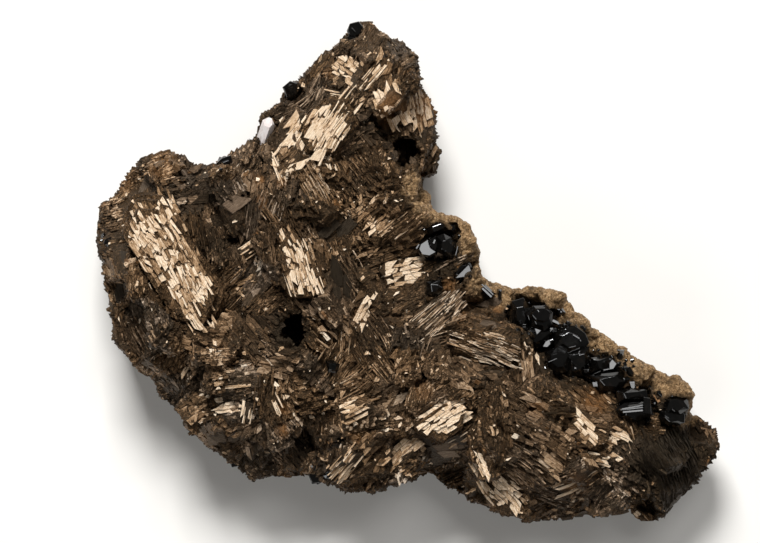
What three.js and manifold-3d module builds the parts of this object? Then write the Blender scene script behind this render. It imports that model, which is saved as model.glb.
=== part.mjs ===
// A cassiterite specimen, lying on its broken back with its crystal side up: a rugged, boot-shaped
// matrix of bronze mica, several large mica books in it, and black cassiterite crystals in the groove
// between the mica and the tan crust of the upper right edge, with small ones around the rim.
//
// Millimetres, +Z up. +X runs from the heel of the boot to its toe, +Y towards the top lobe.
// The origin is under the middle of the specimen, on the surface that it rests on.

import * as THREE from 'three';
import { ConvexGeometry } from 'three/addons/geometries/ConvexGeometry.js';
import { SimplexNoise } from 'three/addons/math/SimplexNoise.js';
import { mergeVertices } from 'three/addons/utils/BufferGeometryUtils.js';
import Module from 'manifold-3d';

// ---------------------------------------------------------------- driving dimensions

const SEED = 2713;

// The body of the matrix.
const FIELD = [126, 106]; // its crystal side is worked out over this field, larger than the outline
const FACE = 12; // size of the flat faces that it breaks into
const FACE_JITTER = 0.36; // their corners are off a grid by up to this share of the size
const FACE_STEP = 1.9; // and up or down by up to this much
const PLATEAU = 24.5; // height of the crystal side, away from its edges
const EDGE_DROP = 6; // it is this much lower at the outline
const SHOULDER = 11; // and falls over this distance
const SWELL = 1.8; // broad unevenness
const SWELL_SIZE = 19; // the length of its swells

// The broken sides: facets cut off the upper and the lower edge, station by station.
const STATION = 12; // from one facet to the next, along the outline
const FACET = 14; // length of a facet
const WAIST = 11.5; // middle height of the band that the facets leave at the outline
const WAIST_SWING = 3; // it wanders up and down by this much
const WAIST_HALF = 1.6; // half the height of the band
const PROUD = 0.5; // a facet's face starts this far outside the outline
const UPPER_LEAN = [18, 46]; // how far the upper facets lean from the vertical, in degrees
const LOWER_LEAN = [22, 52];
const TWIST = 8; // a facet turns by up to this much from the run of the outline
const CLEAR_REACH = 6; // a facet is left out where the matrix is this close again on its outside
const RUN_REACH = 0.006; // the run of the outline is taken over this share of it, to each side

// The mica plates fused to the matrix.
const PLATE_FIELD = [110, 88]; // their middles are spread over this field
const PLATE_SPACING = 10.4;
const PLATE_LENGTH = [8, 14];
const PLATE_WIDTH = [4.5, 8.5];
const PLATE_DEPTH = [2.4, 3.8];
const PLATE_RISE = [0.2, 1.2]; // a plate's face stands this much above the matrix
const PLATE_UNEVEN = 0.24; // its broken sides are off by up to this share
const TURN_SPREAD = 22; // degrees either side of the run of the mica around it
const LEAN_SPREAD = 12;
const STEEPEST = 58; // leaning more than this, a plate's edges face up as thin ledges
const LEDGE_SPACING = 26; // along the outline
const LEDGE_HEIGHT = [8, 18];
const LEDGE_INSET = 3.6; // from the outline to the middle of a ledge
const LEDGE_LEAN = 34;

// The lumps of the crust, fused to the matrix.
const LUMP_SPACING = 7; // along the crust
const LUMP_RADIUS = [2.1, 3.2];
const LUMP_OFF = 0.9; // a lump is off the middle of the crust by up to this much
const LUMP_RISE = [-0.9, 0.8]; // its middle stands this much above the matrix
const LUMP_FACES = 7;

// The leaves of mica, in the plates and in the books.
const SKEW = 12; // a leaf's broken sides turn by up to this much, in degrees
const STEP_BACK = [0, 0.13]; // each side of a leaf is this share inside the one of the leaf below
const ROOT = 0.4; // and ends this much higher

// A loose fit between a crystal and the matrix around it.
const SEAT_GAP = 0.32;

// Cassiterite: a tetragonal prism with pyramids. Angles are from the long axis, in degrees.
const PYRAMID_ANGLE = 43.6;
const CORNER_REACH = 1.17; // the prism's corners are cut at this multiple of its half width
const SMALL_WIDTH = 3.5; // and stay square on crystals up to this width
const UNEVEN = 0.13; // a crystal's faces grow unevenly, by up to this share

// Quartz: a hexagonal prism with a steep point.
const QUARTZ_POINT_ANGLE = 51.8;

const CEILING = 60; // above everything
const FLOOR = -10; // below everything
const SMALLEST_STEP = 1e-4; // corners closer than this are one corner

// The outline of the matrix, seen from above, clockwise from the saddle between its two lobes.
const OUTLINE = [
  // the top lobe's left side, up to its tip
  [-38.6, 18.6], [-35, 18.3], [-32, 20.2], [-28, 22.4], [-26.6, 23.8], [-25.8, 27.2], [-22.5, 29.6],
  [-22.2, 31.6], [-21.4, 33.2], [-19.3, 33.7], [-17.5, 35.8], [-15.4, 37.8], [-12.7, 40.2], [-11, 41.2],
  [-10.4, 43.3], [-8.7, 44.2], [-7.3, 44.6],
  // its right side, down to the hanging corner
  [-5.5, 42.6], [-2.8, 40.6], [-1, 40.2], [0.8, 38.2], [1, 35.2], [2.2, 31.8], [4.2, 28.2], [4.4, 24.5],
  [5.2, 21.4], [4.2, 18], [3.6, 16.9], [2.8, 17.3], [1.6, 18.6],
  // the neck and the shoulder
  [1.5, 17], [2.2, 14.6], [3.5, 13.2], [3.4, 11.4], [4.4, 10.2], [8, 9.5], [10.7, 8], [11.5, 5.2],
  [12.3, 3.3], [11.9, 2.3], [12.4, -1],
  // the crust along the crystals, down to the toe
  [14.2, -2.1], [16.2, -2.7], [18.5, -3.6], [21, -3], [24, -3.4], [27, -4.1], [28.8, -6], [28.6, -7.3],
  [31, -8.1], [32.4, -10.2], [35.7, -12.4], [36.9, -13.8], [38.5, -13.8], [39.1, -15.2], [42, -16.7],
  [46, -19], [47.3, -18.7], [49.2, -20.5], [50.4, -23], [49.3, -25.3], [51.7, -26.2], [53.5, -27.9],
  [55.3, -30.2],
  // under the toe and back along the sole
  [53.8, -33.2], [51.5, -36], [49.8, -38.5], [47.4, -40.5], [45.5, -43], [42.7, -44.6], [41, -43.8],
  [39.2, -41.6], [37, -41.9], [33, -42.5], [28.5, -43.4], [22, -43.9], [17, -42.8], [12, -40.7],
  [7, -38.3], [4.2, -35.8], [3, -35.4], [1.5, -36.3], [-2, -36.9], [-5.8, -38.5], [-11.2, -38.6],
  [-13, -38.2], [-13.3, -36.9], [-16.4, -37.5], [-18.2, -35.5], [-20, -36.1], [-26.5, -36.3],
  [-27.6, -36.9], [-29.5, -35], [-31.5, -34], [-33.2, -32], [-36, -30.6], [-38.8, -28], [-40.3, -25],
  [-42, -23.9], [-44.5, -21.7], [-45.3, -19], [-48, -17.5],
  // the heel, up to the left lobe's head
  [-50, -14.3], [-51.8, -12], [-51.7, -8.5], [-53.2, -6], [-53.8, -2.5], [-53.8, 1.5], [-55.1, 4],
  [-55.3, 6], [-55.1, 9.2], [-54.8, 12.2], [-53.3, 11.9], [-51.2, 14.3], [-50, 16.8], [-48, 19.2],
  [-45, 20.3], [-43.3, 21.2], [-40, 20],
];

// The small window between the hanging corner and the neck.
const WINDOW = [[-2.5, 18.6], [-1.4, 19.8], [-0.1, 19.5], [-0.1, 18.4], [-1.6, 18.1]];

// Swellings (positive) and hollows (negative) of the crystal side: place, half sizes, the direction of
// the long half, and height.
const FORMS = [
  { name: 'ridge of the left lobe', at: [-43, 2], half: [17, 8], along: -62, height: 3.5 },
  { name: 'dark valley', at: [-32.2, 7], half: [11, 4], along: -78, height: -6.5 },
  { name: 'saddle', at: [-36, 17], half: [6, 5], along: 0, height: -4 },
  { name: 'middle ridge', at: [-19.5, 2], half: [12, 7.5], along: -70, height: 3.5 },
  { name: 'heel swelling', at: [-34, -22], half: [10, 7], along: 20, height: 2 },
  { name: 'lower ridge', at: [-6, -24], half: [11, 7], along: 30, height: 3 },
  { name: 'lobe ridge', at: [-14, 26], half: [12, 8], along: 60, height: 2.5 },
  { name: 'neck hollow', at: [-8, 12], half: [6, 5], along: 40, height: -2.5 },
  { name: 'shoulder pocket', at: [5, 2.5], half: [7, 4.2], along: -30, height: -4.5 },
  { name: 'sole swelling', at: [13, -24], half: [17, 9], along: -20, height: 3.5 },
  { name: 'crystal groove', at: [28, -14.5], half: [19, 5.2], along: -32, height: -6 },
  { name: 'toe swelling', at: [31, -31], half: [9, 7], along: 20, height: 2 },
  { name: 'toe block', at: [48, -34], half: [11, 8.5], along: -60, height: -5 },
];

// The middle of the crust, from the shoulder down to the toe.
const CRUST = [
  [4.4, 8.7], [8.6, 8.3], [10.2, 5.6], [10.9, 1.8], [11.4, -2.2], [16.6, -4.4], [21.6, -4.6], [26.2, -5.7],
  [28.6, -9], [31.2, -11.4], [34.4, -13.4], [38.4, -16.4], [42.2, -18.4], [47.2, -20.6],
];

// The sharp pits of the crystal side: place, half sizes, the direction of the first of them, and depth.
const PITS = [
  { name: 'black hole', at: [-20.4, -10.6], half: [3.6, 1.9], along: 78, depth: 11 },
  { name: 'lower hollow', at: [-18.6, -30.2], half: [3, 1.7], along: 80, depth: 5 },
  { name: 'lobe cavity', at: [-1, 21.3], half: [2.4, 1.7], along: 10, depth: 9 },
  { name: 'lobe crevice', at: [-4.6, 25.4], half: [4.4, 1], along: -38, depth: 4 },
  { name: 'groove hollow', at: [31.6, -17.8], half: [3, 1.4], along: -20, depth: 5 },
];
const PIT_TAPER = -12; // degrees that a pit's sides lean outward

// What broke off the back: place, the way each face slopes up and how steeply, and depth at its middle.
const BACK_CHIPS = [
  { at: [-38, -4], turn: 160, slope: 8, depth: 0.5 },
  { at: [-17, 24], turn: 110, slope: 7, depth: 0.6 },
  { at: [-2, -6], turn: 20, slope: 7, depth: 0.4 },
  { at: [-18, -24], turn: 250, slope: 9, depth: 0.5 },
  { at: [18, -16], turn: 75, slope: 8, depth: 0.6 },
  { at: [41, -33], turn: 320, slope: 8, depth: 0.5 },
];
const BACK_CHIP_HALF = 6;

// How the mica runs, place by place: the direction of its plates' edges and the lean of their flat
// faces from the horizontal. Between the places, the nearest counts.
const FABRIC = [
  { at: [-43, 4], run: -62, lean: 16 }, { at: [-46, -6], run: -75, lean: 48 },
  { at: [-44, 18], run: 10, lean: 40 }, { at: [-52, 8], run: 0, lean: 60 },
  { at: [-36, -8], run: -20, lean: 30 }, { at: [-42, -18], run: 40, lean: 42 },
  { at: [-35, -28], run: 25, lean: 36 }, { at: [-30, -22], run: 5, lean: 20 },
  { at: [-29, 8], run: -60, lean: 55 }, { at: [-28, -4], run: 35, lean: 45 },
  { at: [-24, 17], run: 62, lean: 38 }, { at: [-16, 31], run: 68, lean: 66 },
  { at: [-15, 25], run: 55, lean: 22 }, { at: [-10, 37], run: 50, lean: 30 },
  { at: [-5, 34], run: 50, lean: 62 }, { at: [-3, 27], run: -65, lean: 35 },
  { at: [2, 23], run: 80, lean: 50 }, { at: [-12, 16], run: -45, lean: 48 },
  { at: [-12, 10], run: -50, lean: 25 }, { at: [-19, 1], run: -70, lean: 20 },
  { at: [-12, -2], run: -60, lean: 52 }, { at: [-3, 4], run: 20, lean: 45 },
  { at: [0, -2], run: 15, lean: 24 }, { at: [6, -7], run: 40, lean: 68 },
  { at: [-8, -12], run: -72, lean: 35 }, { at: [-24, -14], run: -30, lean: 50 },
  { at: [14, -8], run: 30, lean: 32 }, { at: [13, -14], run: -15, lean: 64 },
  { at: [22, -16], run: -60, lean: 26 }, { at: [2, -17], run: 60, lean: 44 },
  { at: [-13, -22], run: 40, lean: 28 }, { at: [-23, -26], run: -70, lean: 48 },
  { at: [-8, -28], run: 15, lean: 30 }, { at: [-10, -34], run: 45, lean: 66 },
  { at: [-1, -32], run: 45, lean: 34 }, { at: [6, -26], run: 37, lean: 22 },
  { at: [8, -33], run: 40, lean: 62 }, { at: [15, -30], run: 85, lean: 46 },
  { at: [16, -38], run: -55, lean: 24 }, { at: [24, -26], run: -20, lean: 40 },
  { at: [31, -28], run: -30, lean: 22 }, { at: [29, -37], run: 25, lean: 44 },
  { at: [37, -30], run: -50, lean: 30 }, { at: [46, -34], run: -60, lean: 50 },
  { at: [52, -29], run: -60, lean: 66 }, { at: [30, -8], run: -30, lean: 34 },
  { at: [45, -20], run: -30, lean: 34 },
];

// The largest mica books: the middle of the top face, how far it stands above the matrix, the run and
// lean of the leaves, the way they face (+1 or -1), length along the run, width, depth and leaves.
const BOOKS = [
  { name: 'left_mica_book', at: [-42.6, 2.6], rise: 1.4, run: -60, lean: 9, faces: -1,
    length: 26, width: 9.5, depth: 7, leaves: 3 },
  { name: 'top_mica_book', at: [-14.8, 25.4], rise: 1.5, run: 52, lean: 14, faces: 1,
    length: 12, width: 8.5, depth: 5, leaves: 3 },
  { name: 'middle_mica_book', at: [-19.2, 0.6], rise: 1.2, run: -68, lean: 12, faces: 1,
    length: 13, width: 6, depth: 5, leaves: 3 },
  { name: 'groove_mica_book', at: [13.4, -13.6], rise: 1.3, run: -14, lean: 38, faces: -1,
    length: 13.5, width: 6, depth: 5, leaves: 3 },
  { name: 'sole_mica_book', at: [5.6, -26.4], rise: 1.2, run: 37, lean: 13, faces: -1,
    length: 10.5, width: 7, depth: 5, leaves: 3 },
  { name: 'toe_mica_book', at: [31, -27.6], rise: 1.1, run: -30, lean: 12, faces: 1,
    length: 9.5, width: 6, depth: 4.5, leaves: 3 },
];

// Cassiterite crystals, grouped as they grew together: the middle of each, how far it stands above the
// matrix, the way its long axis turns and leans, its spin about that axis, its width and its length.
const CASSITERITE = {
  cassiterite_shoulder: [
    { at: [6, 5], rise: 1.6, turn: -35, lean: 32, spin: 20, width: 5.4, length: 7.2 },
    { at: [3, 4], rise: 1.4, turn: 190, lean: 38, spin: 8, width: 4, length: 5.4 },
    { at: [8, 7.2], rise: 0.6, turn: 60, lean: 30, spin: 40, width: 2.2, length: 3.6 },
  ],
  cassiterite_wedge: [
    { at: [9.6, -0.6], rise: 1.5, turn: 200, lean: 42, spin: 12, width: 3.4, length: 4.6 },
  ],
  cassiterite_recess: [
    { at: [4.9, -2.9], rise: 0.5, turn: 120, lean: 30, spin: 35, width: 2.8, length: 4 },
  ],
  cassiterite_striated: [
    { at: [14.3, -3.3], rise: 1.6, turn: -52, lean: 74, spin: 10, width: 2, length: 4.4 },
  ],
  cassiterite_upper: [
    { at: [22.4, -8], rise: 2.2, turn: 35, lean: 24, spin: 28, width: 6.6, length: 8.2 },
    { at: [19.7, -8.4], rise: 1.5, turn: 205, lean: 34, spin: 10, width: 4.2, length: 6 },
    { at: [22.2, -12], rise: 1.2, turn: -80, lean: 36, spin: 40, width: 4.4, length: 6 },
    { at: [19.4, -5.6], rise: 0.8, turn: 140, lean: 30, spin: 15, width: 2.8, length: 4.4 },
  ],
  cassiterite_lower: [
    { at: [28.6, -14.4], rise: 2.4, turn: -118, lean: 30, spin: 18, width: 7.6, length: 8.6 },
    { at: [30.6, -12], rise: 1.8, turn: 40, lean: 35, spin: 5, width: 4, length: 6 },
    { at: [26.9, -17.6], rise: 0.8, turn: 250, lean: 42, spin: 30, width: 4, length: 5.2 },
    { at: [26.6, -11.6], rise: 1.4, turn: 150, lean: 28, spin: 35, width: 2.6, length: 4.4 },
    { at: [30, -17.2], rise: 0.9, turn: -60, lean: 34, spin: 12, width: 2.6, length: 4.4 },
      ],
  cassiterite_bead: [
    { at: [27.6, -7.9], rise: 1.2, turn: 20, lean: 28, spin: 30, width: 2, length: 3.2 },
  ],
  cassiterite_middle: [
    { at: [35.4, -18.2], rise: 1.5, turn: 25, lean: 46, spin: 15, width: 3.8, length: 6 },
    { at: [33.6, -20.4], rise: 1, turn: 215, lean: 36, spin: 0, width: 3.2, length: 4.6 },
    { at: [34.6, -16.2], rise: 1.1, turn: 60, lean: 30, spin: 30, width: 2.4, length: 4 },
  ],
  cassiterite_rim: [
    { at: [37.7, -15], rise: 1.4, turn: 85, lean: 55, spin: 42, width: 1.8, length: 3.6 },
  ],
  cassiterite_prism: [
    { at: [40.3, -23.3], rise: 2, turn: -4, lean: 78, spin: 8, width: 4.2, length: 6.8 },
    { at: [41.4, -20.9], rise: 1.2, turn: 70, lean: 46, spin: 18, width: 2.4, length: 4.2 },
  ],
  cassiterite_toe: [
    { at: [47.2, -24.2], rise: 1.6, turn: -40, lean: 34, spin: 25, width: 4.8, length: 6.2 },
    { at: [45.4, -26], rise: 0.8, turn: 200, lean: 42, spin: 0, width: 3, length: 4.6 },
  ],
  cassiterite_inner: [
    { at: [-13, -16.6], rise: 0.7, turn: 150, lean: 38, spin: 20, width: 2.8, length: 4 },
  ],
};

// The small cassiterite crystals of the rim: place and height on it, the way they point, width, length.
const RIM_CASSITERITE = {
  cassiterite_saddle: { at: [-32.6, 19], height: 16, turn: 118, width: 3, length: 4.6 },
  cassiterite_lobe: { at: [-21.1, 31.9], height: 15, turn: 140, width: 3.2, length: 4.8 },
  cassiterite_tip: { at: [-9.6, 42.2], height: 14.5, turn: 112, width: 3.2, length: 4.8 },
  cassiterite_heel: { at: [-53.8, 4.6], height: 14, turn: 176, width: 2.8, length: 4.4 },
  cassiterite_sole_left: { at: [-30.9, -33.2], height: 13.5, turn: 228, width: 3, length: 4.4 },
  cassiterite_sole_middle: { at: [-27.6, -35.4], height: 11.5, turn: 262, width: 2.4, length: 3.8 },
  cassiterite_sole_right: { at: [-16.4, -36.2], height: 13, turn: 268, width: 2.8, length: 4.2 },
};
const RIM_LEAN = 62; // degrees from the vertical
const RIM_SPIN = 20;
const RIM_CLEAR = 6.5; // no plate has its middle closer than this to one

const QUARTZ = { name: 'quartz_crystal', at: [-25.2, 24.9], rise: 1.5, turn: 70, lean: 62, spin: 0,
  width: 2.1, length: 5.6 };

// ---------------------------------------------------------------- finishes

const finish = (color, roughness, metalness) => (
  new THREE.MeshStandardMaterial({ color, roughness, metalness })
);
const MATRIX_MICA = finish('#4a3c2e', 0.55, 0.35);
const BOOK_MICA = finish('#8f755c', 0.35, 0.55);
const BLACK_CASSITERITE = finish('#0d0c0c', 0.1, 0.1);
const CLEAR_QUARTZ = finish('#d9cfc8', 0.15, 0);

// ---------------------------------------------------------------- sums

const FOUR_WAYS = [0, 90, 180, 270];
const SIX_WAYS = [0, 60, 120, 180, 240, 300];
const radians = THREE.MathUtils.degToRad;
const clamp = THREE.MathUtils.clamp;

/** A seeded source of numbers from 0 to 1, so that the specimen is the same each time. */
function seededRandom(seed) {
  let state = seed;
  return () => {
    state = (state + 0x6d2b79f5) | 0;
    let mixed = Math.imul(state ^ (state >>> 15), 1 | state);
    mixed = (mixed + Math.imul(mixed ^ (mixed >>> 7), 61 | mixed)) ^ mixed;
    return ((mixed ^ (mixed >>> 14)) >>> 0) / 4294967296;
  };
}

const random = seededRandom(SEED);
const between = ([low, high]) => low + (high - low) * random();
const either = (spread) => spread * (2 * random() - 1);
const noise = new SimplexNoise({ random });

/** Distance from a point to the segment from a to b. */
function toSegment(x, y, [ax, ay], [bx, by]) {
  const [dx, dy] = [bx - ax, by - ay];
  const share = clamp(((x - ax) * dx + (y - ay) * dy) / (dx * dx + dy * dy), 0, 1);
  return Math.hypot(x - ax - share * dx, y - ay - share * dy);
}

/** Whether the ray to the right of a point crosses the side from a to b. */
function crosses(x, y, [ax, ay], [bx, by]) {
  return ay > y !== by > y && x < ax + ((bx - ax) * (y - ay)) / (by - ay);
}

/** How far a point lies inside the outline, negative where it is outside. */
function insetOf(x, y) {
  let nearest = Infinity;
  let inside = false;
  OUTLINE.forEach((corner, index) => {
    const next = OUTLINE[(index + 1) % OUTLINE.length];
    nearest = Math.min(nearest, toSegment(x, y, corner, next));
    if (crosses(x, y, corner, next)) inside = !inside;
  });
  return inside ? nearest : -nearest;
}

// ---------------------------------------------------------------- the relief of the crystal side

/** Height that one swelling or hollow adds at a point. */
function formAt({ at, half, along, height }, x, y) {
  const angle = radians(along);
  const [dx, dy] = [x - at[0], y - at[1]];
  const u = (dx * Math.cos(angle) + dy * Math.sin(angle)) / half[0];
  const v = (dy * Math.cos(angle) - dx * Math.sin(angle)) / half[1];
  return height * Math.exp(-(u * u + v * v));
}

/** Height of the crystal side, before it breaks into blocks. */
function topAt(x, y) {
  const outward = 1 - clamp(insetOf(x, y) / SHOULDER, 0, 1);
  const swell = SWELL * noise.noise(x / SWELL_SIZE, y / SWELL_SIZE);
  const forms = FORMS.reduce((sum, form) => sum + formAt(form, x, y), 0);
  return PLATEAU + swell + forms - EDGE_DROP * outward ** 2;
}

// ---------------------------------------------------------------- solids

const wasm = await Module();
wasm.setup();

/** A closed geometry as a solid that can be joined and cut. */
function solid(geometry) {
  const bare = new THREE.BufferGeometry();
  bare.setAttribute('position', geometry.attributes.position);
  if (geometry.index) bare.setIndex(geometry.index);
  const merged = mergeVertices(bare, SMALLEST_STEP);
  return new wasm.Manifold(new wasm.Mesh({
    numProp: 3,
    vertProperties: new Float32Array(merged.attributes.position.array),
    triVerts: new Uint32Array(merged.index.array),
  }));
}

const joined = (solids) => solids.reduce((whole, each) => whole.add(each));

/** The solid as a geometry, without crumbs that a cut left loose or hollows that it sealed. */
function geometryOf(body) {
  const { vertProperties, triVerts, numProp } = body.getMesh();
  const corner = (index) => new THREE.Vector3().fromArray(vertProperties, index * numProp);
  const parent = Array.from({ length: vertProperties.length / numProp }, (_, index) => index);
  const root = (index) => {
    let at = index;
    while (parent[at] !== at) at = parent[at] = parent[parent[at]];
    return at;
  };
  for (let t = 0; t < triVerts.length; t += 3) {
    parent[root(triVerts[t])] = root(triVerts[t + 1]);
    parent[root(triVerts[t + 1])] = root(triVerts[t + 2]);
  }
  const shells = new Map();
  for (let t = 0; t < triVerts.length; t += 3) {
    const shell = shells.get(root(triVerts[t])) ?? { volume: 0, corners: [] };
    const [a, b, c] = [0, 1, 2].map((side) => corner(triVerts[t + side]));
    shell.volume += a.dot(b.clone().cross(c)) / 6;
    shell.corners.push(a, b, c);
    shells.set(root(triVerts[t]), shell);
  }
  const largest = [...shells.values()].reduce((best, each) => (each.volume > best.volume ? each : best));
  return new THREE.BufferGeometry().setFromPoints(largest.corners);
}

/** A prism over a flat outline, from one height to another. */
function prism(corners, low, high) {
  const shape = new THREE.Shape(corners.map(([x, y]) => new THREE.Vector2(x, y)));
  const geometry = new THREE.ExtrudeGeometry(shape, { depth: high - low, bevelEnabled: false });
  return solid(geometry.translate(0, 0, low));
}

/** Corners of the convex body that lies inside every face, each face moved out by grow. */
function cornersOf(faces, grow) {
  const corners = new Map();
  const reach = (face) => face.reach + grow;
  for (const [i, a] of faces.entries()) {
    for (const [j, b] of faces.entries()) {
      for (const c of faces.slice(j + 1)) {
        const bc = b.normal.clone().cross(c.normal);
        const spread = a.normal.dot(bc);
        if (j <= i || Math.abs(spread) < SMALLEST_STEP) continue;
        const corner = bc.multiplyScalar(reach(a))
          .addScaledVector(c.normal.clone().cross(a.normal), reach(b))
          .addScaledVector(a.normal.clone().cross(b.normal), reach(c))
          .divideScalar(spread);
        const outside = faces.some((face) => face.normal.dot(corner) > reach(face) + SMALLEST_STEP);
        const key = corner.toArray().map((value) => Math.round(value / SMALLEST_STEP / 10)).join();
        if (!outside) corners.set(key, corner);
      }
    }
  }
  return [...corners.values()];
}

/** A grown crystal: convex members, each with its faces and its place. */
function grown(members, grow = 0) {
  return joined(members.map(({ faces, place }) => {
    const geometry = new ConvexGeometry(cornersOf(faces, grow));
    return solid(geometry.applyMatrix4(place));
  }));
}

/** A face of a crystal: its normal leans from the long axis and turns about it, in degrees. */
function face(lean, turn, reach) {
  const [down, around] = [radians(lean), radians(turn)];
  const side = Math.sin(down);
  const normal = new THREE.Vector3(side * Math.cos(around), side * Math.sin(around), Math.cos(down));
  return { normal, reach };
}

/** Where a crystal stands: its long axis leans from the vertical, and turns from +X. */
function placeAt([x, y, z], { turn, lean, spin = 0 }) {
  const place = new THREE.Matrix4().makeTranslation(x, y, z);
  place.multiply(new THREE.Matrix4().makeRotationZ(radians(turn)));
  place.multiply(new THREE.Matrix4().makeRotationY(radians(lean)));
  return place.multiply(new THREE.Matrix4().makeRotationZ(radians(spin)));
}

const uneven = (reach, share = UNEVEN) => reach * (1 + either(share));

/** The faces of a cassiterite crystal: a square prism, a pyramid, and the flat end in the matrix. */
function cassiteriteFaces({ width, length }) {
  const tip = (length / 2) * Math.cos(radians(PYRAMID_ANGLE));
  const sides = FOUR_WAYS.flatMap((turn) => [
    face(90, turn, uneven(width / 2)),
    face(PYRAMID_ANGLE, turn, uneven(tip)),
  ]);
  const corners = FOUR_WAYS.map((turn) => face(90, turn + 45, uneven((CORNER_REACH * width) / 2)));
  return [...sides, ...(width > SMALL_WIDTH ? corners : []), face(180, 0, length / 2)];
}

/** The faces of a quartz crystal: six sides and a point of six faces, with its root in the matrix. */
function quartzFaces({ width, length }) {
  const tip = (length / 2) * Math.cos(radians(QUARTZ_POINT_ANGLE));
  const sides = SIX_WAYS.flatMap((turn) => [
    face(90, turn, uneven(width / 2)),
    face(QUARTZ_POINT_ANGLE, turn, uneven(tip)),
  ]);
  return [...sides, face(180, 0, length / 2)];
}

/** The sides of one leaf of mica: six, longer along its run. */
function leafSides({ width, length, ragged = UNEVEN }) {
  return SIX_WAYS.map((turn) => {
    const reach = turn % 180 === 0 ? width : length * Math.cos(radians(30));
    return face(90, turn + either(SKEW), uneven(reach / 2, ragged));
  });
}

/** A stack of mica leaves, its top face at the place: each leaf reaches down through the wider ones. */
function micaStack({ place, sides, depth, leaves }) {
  return Array.from({ length: leaves }, (_, index) => {
    const above = leaves - 1 - index;
    const narrowed = sides.map(({ normal, reach }) => (
      { normal, reach: reach * (1 - above * between(STEP_BACK)) }
    ));
    const [top, root] = [-index * (depth / leaves), depth - ROOT * above];
    return { place, faces: [...narrowed, face(0, 0, top), face(180, 0, root)] };
  });
}

/** The seat of a stack: as wide as its widest leaf, and open above. */
function stackSeat({ place, sides, depth }) {
  return [{ place, faces: [...sides, face(0, 0, depth), face(180, 0, depth)] }];
}

// ---------------------------------------------------------------- the body of the matrix

/** A block with the crystal side's relief on top, over a field that holds the whole outline. */
function reliefBlock() {
  const columns = Math.ceil(FIELD[0] / FACE);
  const rows = Math.ceil(FIELD[1] / FACE);
  const off = FACE_JITTER * FACE;
  const relief = [];
  for (let row = 0; row <= rows; row += 1) {
    for (let column = 0; column <= columns; column += 1) {
      const x = (column - columns / 2) * FACE + either(off);
      const y = (row - rows / 2) * FACE + either(off);
      relief.push(new THREE.Vector3(x, y, topAt(x, y) + either(FACE_STEP)));
    }
  }
  const under = relief.length;
  const floor = relief.map(({ x, y }) => new THREE.Vector3(x, y, FLOOR));
  const at = (column, row) => row * (columns + 1) + column;
  const triangles = [];
  for (let row = 0; row < rows; row += 1) {
    for (let column = 0; column < columns; column += 1) {
      const [a, b] = [at(column, row), at(column + 1, row)];
      const [d, c] = [at(column, row + 1), at(column + 1, row + 1)];
      triangles.push(...(random() < 0.5 ? [[a, b, c], [a, c, d]] : [[a, b, d], [b, c, d]]));
      triangles.push([under + a, under + c, under + b], [under + a, under + d, under + c]);
    }
  }
  const wall = (a, b) => triangles.push([under + a, under + b, b], [under + a, b, a]);
  for (let column = 0; column < columns; column += 1) {
    wall(at(column, 0), at(column + 1, 0));
    wall(at(column + 1, rows), at(column, rows));
  }
  for (let row = 0; row < rows; row += 1) {
    wall(at(columns, row), at(columns, row + 1));
    wall(at(0, row + 1), at(0, row));
  }
  const geometry = new THREE.BufferGeometry().setFromPoints([...relief, ...floor]);
  return solid(geometry.setIndex(triangles.flat()));
}

/** Straight lines from corner to corner, as one path. */
function pathThrough(corners) {
  const path = new THREE.CurvePath();
  corners.slice(1).forEach((corner, index) => {
    path.add(new THREE.LineCurve(new THREE.Vector2(...corners[index]), new THREE.Vector2(...corner)));
  });
  return path;
}

/** Evenly spaced places around the outline: where they are and which way is out. */
function stations(spacing) {
  const around = pathThrough([...OUTLINE, OUTLINE[0]]);
  const count = Math.round(around.getLength() / spacing);
  return Array.from({ length: count }, (_, index) => {
    const share = (index + 0.5) / count;
    const [before, after] = [(share - RUN_REACH + 1) % 1, (share + RUN_REACH) % 1];
    const run = around.getPointAt(after).sub(around.getPointAt(before));
    return { on: around.getPointAt(share), outward: THREE.MathUtils.RAD2DEG * Math.atan2(run.x, -run.y) };
  });
}

/** The place a distance outside the outline, at one station. */
function past({ on, outward }, distance) {
  return [on.x + distance * Math.cos(radians(outward)), on.y + distance * Math.sin(radians(outward))];
}

/** What breaks off at one station, above the waist (side +1) or below it (side -1). */
function breakage({ on, outward }, side) {
  const lean = side * between(side > 0 ? UPPER_LEAN : LOWER_LEAN);
  const waist = WAIST + WAIST_SWING * noise.noise(on.x / SWELL_SIZE, on.y / SWELL_SIZE + WAIST);
  const facing = placeAt([on.x, on.y, waist + side * WAIST_HALF], { turn: outward + either(TWIST), lean: 0 });
  const facet = new THREE.Vector3(Math.cos(radians(lean)), 0, Math.sin(radians(lean)));
  const faces = [
    { normal: facet.clone().negate(), reach: -PROUD },
    { normal: facet, reach: 2 * FACET },
    { normal: new THREE.Vector3(0, 1, 0), reach: FACET / 2 },
    { normal: new THREE.Vector3(0, -1, 0), reach: FACET / 2 },
    { normal: new THREE.Vector3(0, 0, side), reach: CEILING },
    { normal: new THREE.Vector3(0, 0, -side), reach: 0 },
  ];
  return { faces, place: facing };
}

/** The empty space of a pit: six-sided, narrower at its bottom. */
function pit({ at, half, along, depth }) {
  const sides = SIX_WAYS.map((turn) => (
    face(90 + PIT_TAPER, turn + either(SKEW), uneven(turn % 180 === 0 ? half[0] : (half[0] + half[1]) / 2))
  ));
  const faces = [...sides, face(0, 0, CEILING), face(180, 0, depth)];
  return { faces, place: placeAt([...at, topAt(...at)], { turn: along, lean: 0 }) };
}

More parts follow.
